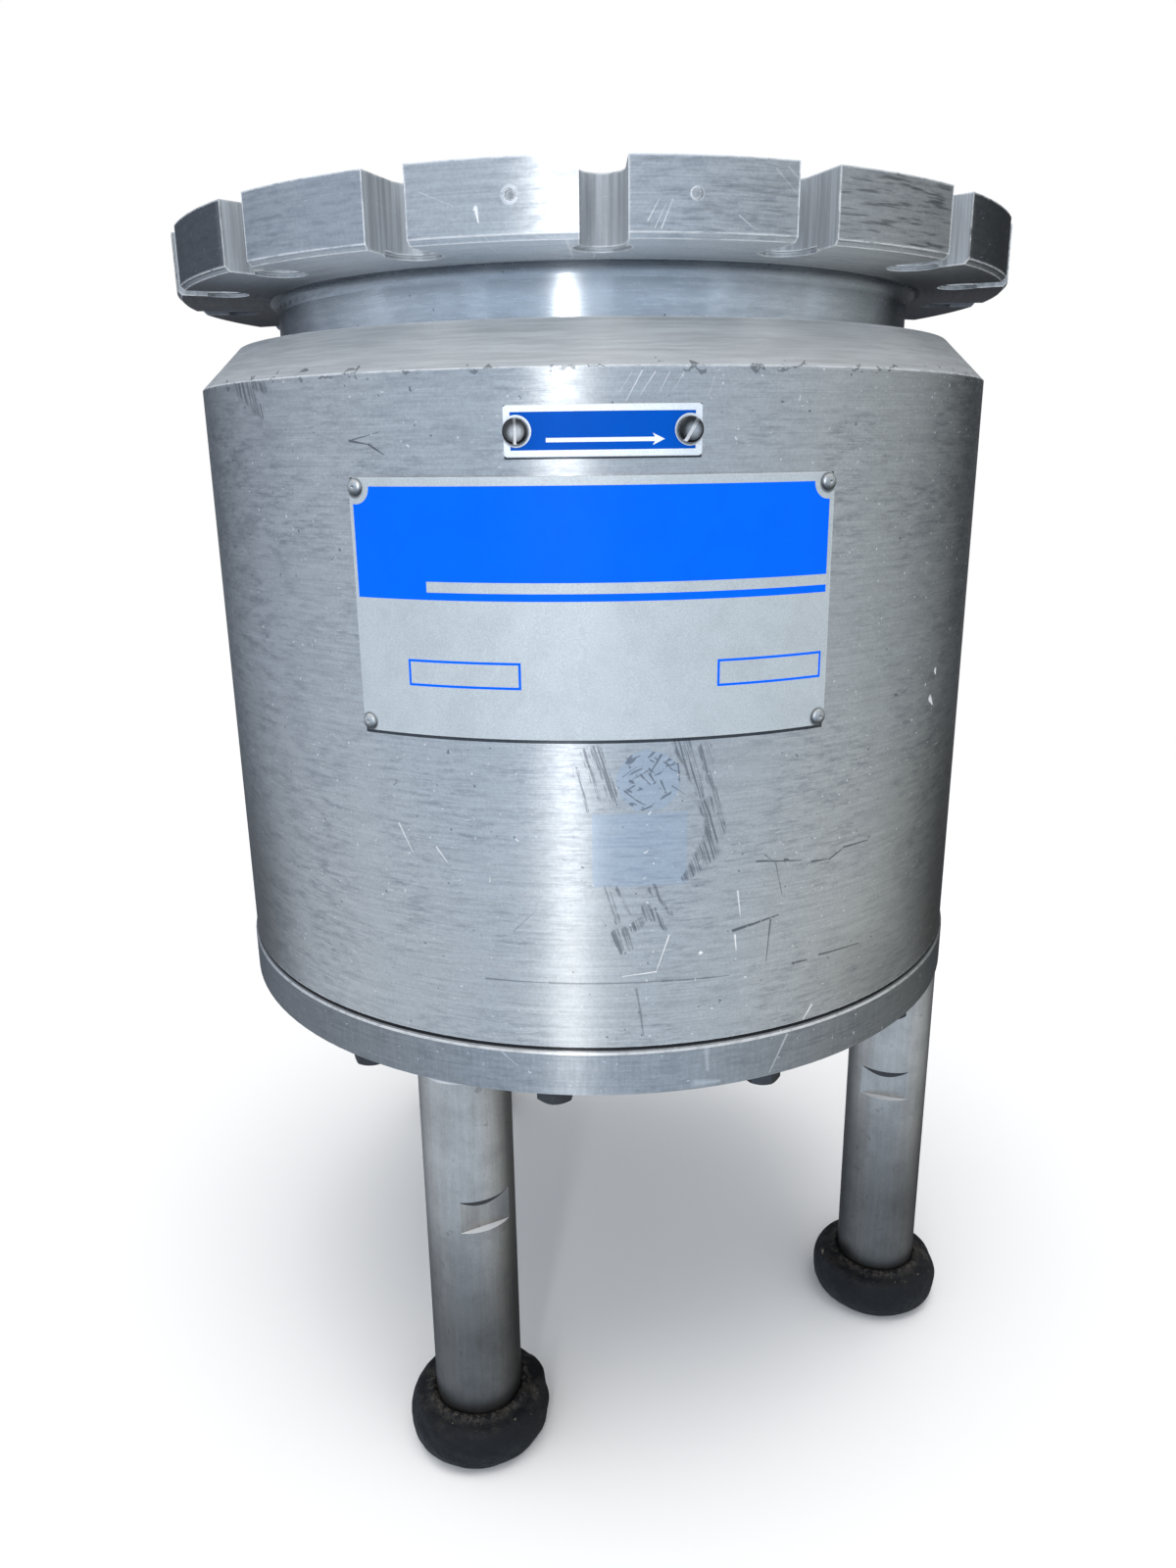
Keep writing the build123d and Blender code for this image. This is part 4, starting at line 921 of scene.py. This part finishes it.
class PUMP_OT_nameplate(PumpOperator):
    """Make the large plate with its blue field, rule and two empty boxes"""

    bl_idname = "pump.nameplate"
    bl_label = "Nameplate"

    def execute(self, context):
        plates = context.scene.pump_plates
        left_end, right_end = -66.6, 59.2
        blue_top = PLATE_TOP - 2.2
        blue_end = blue_top - plates.blue_drop / MM
        rule = (-46.0, right_end, blue_end + 1.9, blue_end + 4.6)
        boxes = ((-52.4, -21.7), (28.4, 58.6))
        box_bottom, box_top, line = -120.9, -113.9, 0.65
        heads = [(turn * BODY_RADIUS, level) for turn, level in rivet_places()]
        clear = 4.2

        def blue(finish):
            field = finish.inside((left_end, right_end, blue_end, blue_top))
            for across, level in heads:
                field = field * (finish.gap(across, level) > clear)
            field -= finish.inside(rule) * field
            for left, right in boxes:
                field += finish.inside((left, right, box_bottom, box_top))
                field -= finish.inside((left + line, right - line, box_bottom + line, box_top - line))
            return field

        material = plate_finish("nameplate_blue", tuple(plates.bare), tuple(plates.enamel), blue, heads=heads)
        sheet = rolled_sheet("nameplate", NAMEPLATE_THICKNESS, 1.5, 96, 48)
        piece("nameplate_sheet", sheet, material, "nameplate_blue", "nameplate")
        return {"FINISHED"}


class PUMP_OT_rotation_plate(PumpOperator):
    """Make the small plate with its blue field and plain arrow"""

    bl_idname = "pump.rotation_plate"
    bl_label = "Rotation plate"

    def execute(self, context):
        plates = context.scene.pump_plates
        arrow = SMALL_PLATE_MIDDLE - 2.1
        tail, notch, tip, half = -14.1, 12.2, 14.3, 0.5
        margin, clear = 1.6, 3.75
        edges = (-22.7, 21.8, SMALL_PLATE_BOTTOM + margin, SMALL_PLATE_TOP - margin)

        def white(finish):
            arc = finish.arc(BODY_RADIUS)
            shaft = finish.inside((tail, notch + 0.3, arrow - half, arrow + half))
            up = abs(finish.z - arrow)
            return shaft | (up * 2.1 + arc < tip) * (up * 0.6 + arc > notch)

        def blue(finish):
            field = finish.inside(edges)
            for across in ROTATION_SCREWS:
                field = field * (finish.gap(across, SMALL_PLATE_MIDDLE) > clear)
            return field - field * white(finish)

        heads = [(across, SMALL_PLATE_MIDDLE) for across in ROTATION_SCREWS]
        material = plate_finish("rotation_plate_blue", tuple(plates.pale), tuple(plates.small_enamel),
                                blue, white, heads, 3.0)
        sheet = rolled_sheet("rotation_plate", ROTATION_PLATE_THICKNESS, 0.8, 48, 16)
        piece("rotation_plate_sheet", sheet, material, "nameplate_blue", "rotation_plate")
        return {"FINISHED"}


class PUMP_OT_fasteners(PumpOperator):
    """Make the drive rivets and the base bolts and finish the screws, washers, retaining ring and spring"""

    bl_idname = "pump.fasteners"
    bl_label = "Fasteners"

    def execute(self, context):
        black = even_metal("black_steel", (0.085, 0.085, 0.09), (0.05, 0.045, 0.04), 0.48)
        self.make_rivets()
        self.make_bolts(black)
        slots = [(across, SMALL_PLATE_MIDDLE, lean) for across, lean in zip(ROTATION_SCREWS, (0.0, 30.0))]
        dress(head_finish("slotted_steel", (0.70, 0.70, 0.70), slots), "rotation_screws")
        dress(even_metal("bright_steel", (0.74, 0.74, 0.73), (0.50, 0.50, 0.50), 0.30),
              "retainer_screws", "connector_screws", "foot_screws")
        dress(black, "motor_screws", "cover_screws")
        dress(even_metal("spring_steel", (0.36, 0.36, 0.37), (0.20, 0.19, 0.18), 0.36),
              "base_washers", "retaining_ring", "preload_spring")
        return {"FINISHED"}

    def make_rivets(self):
        dome = [(0.25, -0.3), (2.1, -0.3), (RIVET_RADIUS, 0.1), (2.05, 0.42), (1.75, 0.72), (1.3, 0.93),
                (0.8, 1.04), (0.45, 1.06), (0.3, 1.02), (0.18, 0.9), (0.08, 0.86)]
        bm = bmesh.new()
        for turn, level in rivet_places():
            lathe(bm, dome, 32, outward(turn, BODY_RADIUS + NAMEPLATE_THICKNESS, level))
        steel = head_finish("rivet_steel", (0.66, 0.67, 0.67))
        piece("nameplate_rivet_heads", bm, steel, "bright_steel", "nameplate_rivets")

    def make_bolts(self, black):
        flats, head = 10.0, 4.0
        circle, first, count = 119.5, 22.5, 12
        bottom, top = levels_of("base_bolts")

        def hexed(radius, height, angle):
            """Keeps a ring inside the head's six flats, with the corners turned down."""
            if radius < 4.7 or height > head:
                return radius, height
            side = (angle + math.pi / 6) % (math.pi / 3) - math.pi / 6
            reach = flats / 2 / math.cos(side)
            lift = max(0.0, reach - 4.75) * math.tan(math.radians(30))
            return reach, height if height > 1.0 else height + lift

        length = top - bottom
        profile = [(0.5, 0.45), (2.6, 0.45), (3.0, 0.0), (4.65, 0.0), (4.9, 0.05), (4.9, head),
                   (3.3, head + 0.01), (3.0, head + 0.4), (3.0, length), (0.5, length)]
        bm = bmesh.new()
        for step in range(count):
            turn = math.radians(first + 360 / count * step)
            place = Matrix.Translation(around(turn, circle, bottom)) @ Matrix.Rotation(turn, 4, "Z")
            lathe(bm, profile, 48, place, hexed)
        piece("base_bolt_set", bm, black, "black_steel", "base_bolts")


class PUMP_OT_legs(PumpOperator):
    """Give the three legs their satin steel"""

    bl_idname = "pump.legs"
    bl_label = "Legs"

    def execute(self, context):
        for number, flat_drop in enumerate((41.4, 37.5, 40.0), 1):
            leg = f"leg_{number}"
            dress(leg_finish(f"leg_steel_{number}", middle_of(leg)[:2], BASE_BOTTOM - flat_drop), leg)
        return {"FINISHED"}


class PUMP_OT_feet(PumpOperator):
    """Make the three worn rubber feet"""

    bl_idname = "pump.feet"
    bl_label = "Feet"

    def execute(self, context):
        rubber = context.scene.pump_rubber
        for number, (swollen, chipped) in enumerate(((15, 0.1), (200, 1.0), (80, 0.6)), 1):
            node = f"foot_{number}"
            centre = middle_of(node)[:2]
            foot = self.foot(node, random.Random(40 + number), math.radians(swollen), rubber.unevenness / MM)
            colours = tuple(rubber.rubber), tuple(rubber.dust)
            material = rubber_finish(f"foot_rubber_{number}", centre, *colours, levels_of(node)[1], chipped)
            piece(f"foot_{number}_rubber", foot, material, "foot_rubber", node)
        return {"FINISHED"}

    def foot(self, node, draw, swollen, uneven):
        """A foot with a socket for the leg, uneven by this much and swollen near one angle."""
        radius, height = size_of(node)[0] / 2, size_of(node)[2]
        waves = [(draw.randint(2, 9), draw.uniform(0, 6.3), draw.uniform(0, 6.3), draw.uniform(0.3, 1.0))
                 for wave in range(8)]

        def worn(r, h, angle):
            """Wanders inwards, swells near one angle, and stays inside the foot's solid."""
            if r < 14.1 or h < 0.6:
                return r, h
            sway = sum(size * math.sin(count * angle + phase + shift * h / 6)
                       for count, phase, shift, size in waves)
            inward = uneven * (1 + max(-1.0, min(1.0, sway / 3)))
            if r < 17:
                return r, h - 1.1 * inward
            away = abs((angle - swollen + math.pi) % (2 * math.pi) - math.pi)
            swell = max(0.0, 1 - away / 0.42) ** 0.6 if h > 9 else 0.0
            r += 0.75 * swell * (radius - 0.4 - r) * min(1.0, (r - 17) / 2)
            h = min(height, h + 0.9 * swell)
            return r - inward, h - (0.9 * inward if h > 12 else 0.0)

        under = [(3.1, 4.6), (9.0, 4.6), (9.2, 4.2), (9.2, 0.4), (9.6, 0.0), (17.6, 0.0)]
        bulge = [(19.2, 0.5), (20.6, 1.4), (21.7, 2.7), (22.5, 4.3), (22.9, 6.2), (radius, 8.2), (22.9, 9.6),
                 (22.6, 11.0), (22.2, 12.4), (21.6, 13.8), (21.0, 14.8), (20.2, 15.6), (19.0, 16.1)]
        lip = [(17.6, 16.4), (16.6, 16.9), (15.6, height), (14.7, height - 0.05), (14.12, height - 0.5)]
        socket = [(14.1, height - 8.6), (3.1, height - 8.7)]
        bm = bmesh.new()
        place = Matrix.Translation(Vector((*middle_of(node)[:2], levels_of(node)[0])) * MM)
        lathe(bm, under + bulge + lip + socket, 96, place, worn)
        caps = [face for face in bm.faces if len(face.verts) > 4]
        bmesh.ops.delete(bm, geom=caps, context="FACES_ONLY")
        bmesh.ops.bridge_loops(bm, edges=[edge for edge in bm.edges if edge.is_boundary])
        return bm


class PUMP_OT_inlet(PumpOperator):
    """Finish the screen and the seals"""

    bl_idname = "pump.inlet"
    bl_label = "Inlet"

    def execute(self, context):
        dress(even_metal("screen_steel", (0.66, 0.66, 0.65), (0.46, 0.46, 0.46), 0.34), "inlet_screen")
        dress(plain_finish("seal_rubber", (0.02, 0.02, 0.022), (0.035, 0.035, 0.04), 0.42, 3.0, 0.00003),
              "inlet_seal", "base_seal")
        return {"FINISHED"}


class PUMP_OT_rotor(PumpOperator):
    """Finish the bladed rotor, its shaft and nuts"""

    bl_idname = "pump.rotor"
    bl_label = "Rotor"

    def execute(self, context):
        dress(metal_finish("rotor_aluminium", (0.78, 0.785, 0.79), (0.56, 0.57, 0.59), 0.27, 0.35),
              *[f"rotor_disc_{row}" for row in range(1, 6)])
        dress(metal_finish("ground_steel", (0.66, 0.66, 0.67), (0.42, 0.42, 0.44), 0.22, 0.3),
              "rotor_shaft", "rotor_nut", "lock_nut", "upper_inner_race", "lower_inner_race",
              "upper_outer_race", "lower_outer_race", "bearing_retainer")
        return {"FINISHED"}


class PUMP_OT_stack(PumpOperator):
    """Finish the stator discs, spacers and sleeve"""

    bl_idname = "pump.stack"
    bl_label = "Stator stack"

    def execute(self, context):
        names = [f"stator_disc_{row}" for row in range(1, 5)] + [f"spacer_ring_{row}" for row in range(1, 4)]
        dress(metal_finish("stack_aluminium", (0.70, 0.71, 0.73), (0.48, 0.49, 0.52), 0.34),
              "support_sleeve", "motor_housing", *names)
        return {"FINISHED"}


class PUMP_OT_drive(PumpOperator):
    """Finish the motor and the bearings"""

    bl_idname = "pump.drive"
    bl_label = "Motor and bearings"

    def execute(self, context):
        dress(lamination_finish("iron_stack"), "motor_stator", "motor_rotor")
        dress(winding_finish("copper_winding"), "motor_windings")
        dress(plain_finish("ball_ceramic", (0.05, 0.05, 0.055), (0.08, 0.08, 0.085), 0.10, 1.0, 0.0, 0.6),
              "upper_balls", "lower_balls")
        dress(plain_finish("cage_plastic", (0.42, 0.28, 0.13), (0.30, 0.19, 0.08), 0.5),
              "upper_cage", "lower_cage")
        return {"FINISHED"}


class PUMP_OT_services(PumpOperator):
    """Finish the foreline port, connector, water nipples and drain plug"""

    bl_idname = "pump.services"
    bl_label = "Ports and connector"

    def execute(self, context):
        dress(even_metal("port_steel", (0.64, 0.64, 0.65), (0.47, 0.47, 0.48), 0.28), "foreline_port")
        dress(even_metal("brass_plug", (0.72, 0.52, 0.24), (0.45, 0.31, 0.14), 0.32),
              "drain_plug", "cooling_nipples")
        dress(even_metal("connector_alloy", (0.30, 0.32, 0.27), (0.20, 0.21, 0.17), 0.42), "connector_shell")
        plastic = plain_finish("black_plastic", (0.02, 0.02, 0.02), (0.035, 0.035, 0.035), 0.45)
        dress(plastic, "connector_insert")
        dress(even_metal("gold_pins", (0.90, 0.68, 0.30), (0.70, 0.50, 0.22), 0.22, 0.6), "connector_pins")
        return {"FINISHED"}


# The walls that the metal mirrors: share of a turn from the back, and colour

ROOM_TONES = [
    (0.0, (0.26, 0.27, 0.29)), (0.09, (0.12, 0.14, 0.17)), (0.18, (0.47, 0.53, 0.62)),
    (0.27, (0.68, 0.77, 0.89)), (0.42, (0.66, 0.80, 0.98)), (0.57, (0.66, 0.79, 0.95)),
    (0.70, (0.63, 0.68, 0.72)), (0.79, (0.41, 0.445, 0.45)), (0.87, (0.07, 0.075, 0.08)),
    (0.94, (0.09, 0.095, 0.105)), (1.0, (0.26, 0.27, 0.29)),
]


class PUMP_OT_stage(PumpOperator):
    """Lay the floor and set the lights and the camera"""

    bl_idname = "pump.stage"
    bl_label = "Stage"

    def execute(self, context):
        scene = context.scene
        stage = scene.pump_stage
        self.lay_floor(stage)
        self.softbox("key", (-0.125, -0.80, 0.09), (0.0, 0.0, -0.1), (0.045, 0.62), stage.key)
        place, target = (0.0, -0.15, 1.5), (0.0, 0.0, -0.16)
        overhead = self.softbox("overhead", place, target, (1.6, 1.6), stage.top)
        overhead.visible_glossy = False
        self.paint_room(scene, stage)
        self.aim_camera(scene, stage)
        return {"FINISHED"}

    def lay_floor(self, stage):
        bm = bmesh.new()
        bmesh.ops.create_circle(bm, cap_ends=True, segments=96, radius=stage.floor_radius)
        bmesh.ops.translate(bm, verts=bm.verts, vec=(0, 0, FLOOR_LEVEL * MM - 0.0002))
        floor = placed("floor", mesh_of("floor", bm))
        finish = Finish("floor_paint", tuple(stage.floor))
        finish.shade(finish.spots(260.0, 2.0).vary(0.985, 1.0))
        fade = finish.radius.ease(330.0, 1000.0, 1.0, 0.0)
        floor.data.materials.append(finish.done(Roughness=0.8, Alpha=fade, Specular_IOR_Level=0.2))
        floor.visible_glossy = False

    def softbox(self, name, spot, target, size, power):
        lamp = bpy.data.lights.new(name, "AREA")
        lamp.shape = "RECTANGLE"
        lamp.size, lamp.size_y = size
        lamp.energy = power
        holder = placed(name, lamp)
        holder.location = spot
        holder.rotation_euler = (Vector(target) - Vector(spot)).to_track_quat("-Z", "Y").to_euler()
        return holder

    def paint_room(self, scene, stage):
        """Walls that the metal mirrors, and a white backdrop for the camera."""
        world = bpy.data.worlds.new("room")
        world.use_nodes = True
        scene.world = world
        room = Nodes(world.node_tree)
        x, y, z = room.split(room.add("ShaderNodeTexCoord", out="Generated"))
        turn = x.angle_from(y * -1.0) * (0.5 / math.pi) + 0.5
        walls = room.ramp(turn, ROOM_TONES)
        mirrored = room.blend(z.ease(0.30, 0.85), walls, (0.92, 0.93, 0.95))
        seen = room.add("ShaderNodeLightPath", out="Is Camera Ray")
        around_pump = room.add("ShaderNodeBackground", mirrored, stage.surround)
        backdrop = room.add("ShaderNodeBackground", (1.0, 1.0, 1.0), 1.0)
        room.add("ShaderNodeOutputWorld", room.add("ShaderNodeMixShader", seen, around_pump, backdrop))
        scene.view_settings.view_transform = "Standard"
        scene.view_settings.look = "None"

    def aim_camera(self, scene, stage):
        spot = Vector((-9.31, -407.3, -62.7))
        yaw, pitch, roll = math.radians(0.86), math.radians(16.50), math.radians(-0.73)
        level = math.cos(pitch)
        forward = Vector((math.sin(yaw) * level, math.cos(yaw) * level, -math.sin(pitch)))
        turn = forward.to_track_quat("-Z", "Y").to_matrix().to_4x4() @ Matrix.Rotation(roll, 4, "Z")
        lens = bpy.data.cameras.new("camera")
        lens.lens = stage.focal_length
        lens.sensor_width = 36.0
        lens.sensor_fit = "AUTO"
        lens.clip_start = 0.01
        lens.clip_end = 50.0
        camera = placed("camera", lens)
        camera.matrix_world = Matrix.Translation(spot * MM) @ turn
        scene.camera = camera


class PUMP_PT_looks(bpy.types.Panel):
    """Lists the pump's settings and operators"""

    bl_idname = "PUMP_PT_looks"
    bl_label = "Turbomolecular pump"
    bl_space_type = "VIEW_3D"
    bl_region_type = "UI"
    bl_category = "Pump"

    def draw(self, context):
        for group in GROUPS:
            settings = getattr(context.scene, group)
            column = self.layout.box().column()
            for name in settings.__annotations__:
                column.prop(settings, name)
        for operator in OPERATORS:
            self.layout.operator(operator.bl_idname)


GROUPS = {"pump_metal": PumpMetal, "pump_plates": PumpPlates, "pump_rubber": PumpRubber,
          "pump_stage": PumpStage}
OPERATORS = [PUMP_OT_body, PUMP_OT_nameplate, PUMP_OT_rotation_plate, PUMP_OT_fasteners, PUMP_OT_legs,
             PUMP_OT_feet, PUMP_OT_inlet, PUMP_OT_rotor, PUMP_OT_stack, PUMP_OT_drive, PUMP_OT_services,
             PUMP_OT_stage]


def register():
    for kind in [*GROUPS.values(), *OPERATORS, PUMP_PT_looks]:
        bpy.utils.register_class(kind)
    for name, kind in GROUPS.items():
        setattr(bpy.types.Scene, name, PointerProperty(type=kind))


def unregister():
    for name in GROUPS:
        delattr(bpy.types.Scene, name)
    for kind in [PUMP_PT_looks, *reversed(OPERATORS), *GROUPS.values()]:
        bpy.utils.unregister_class(kind)


def main():
    register()
    for operator in OPERATORS:
        group, name = operator.bl_idname.split(".")
        getattr(getattr(bpy.ops, group), name)()


if __name__ == "__main__":
    main()
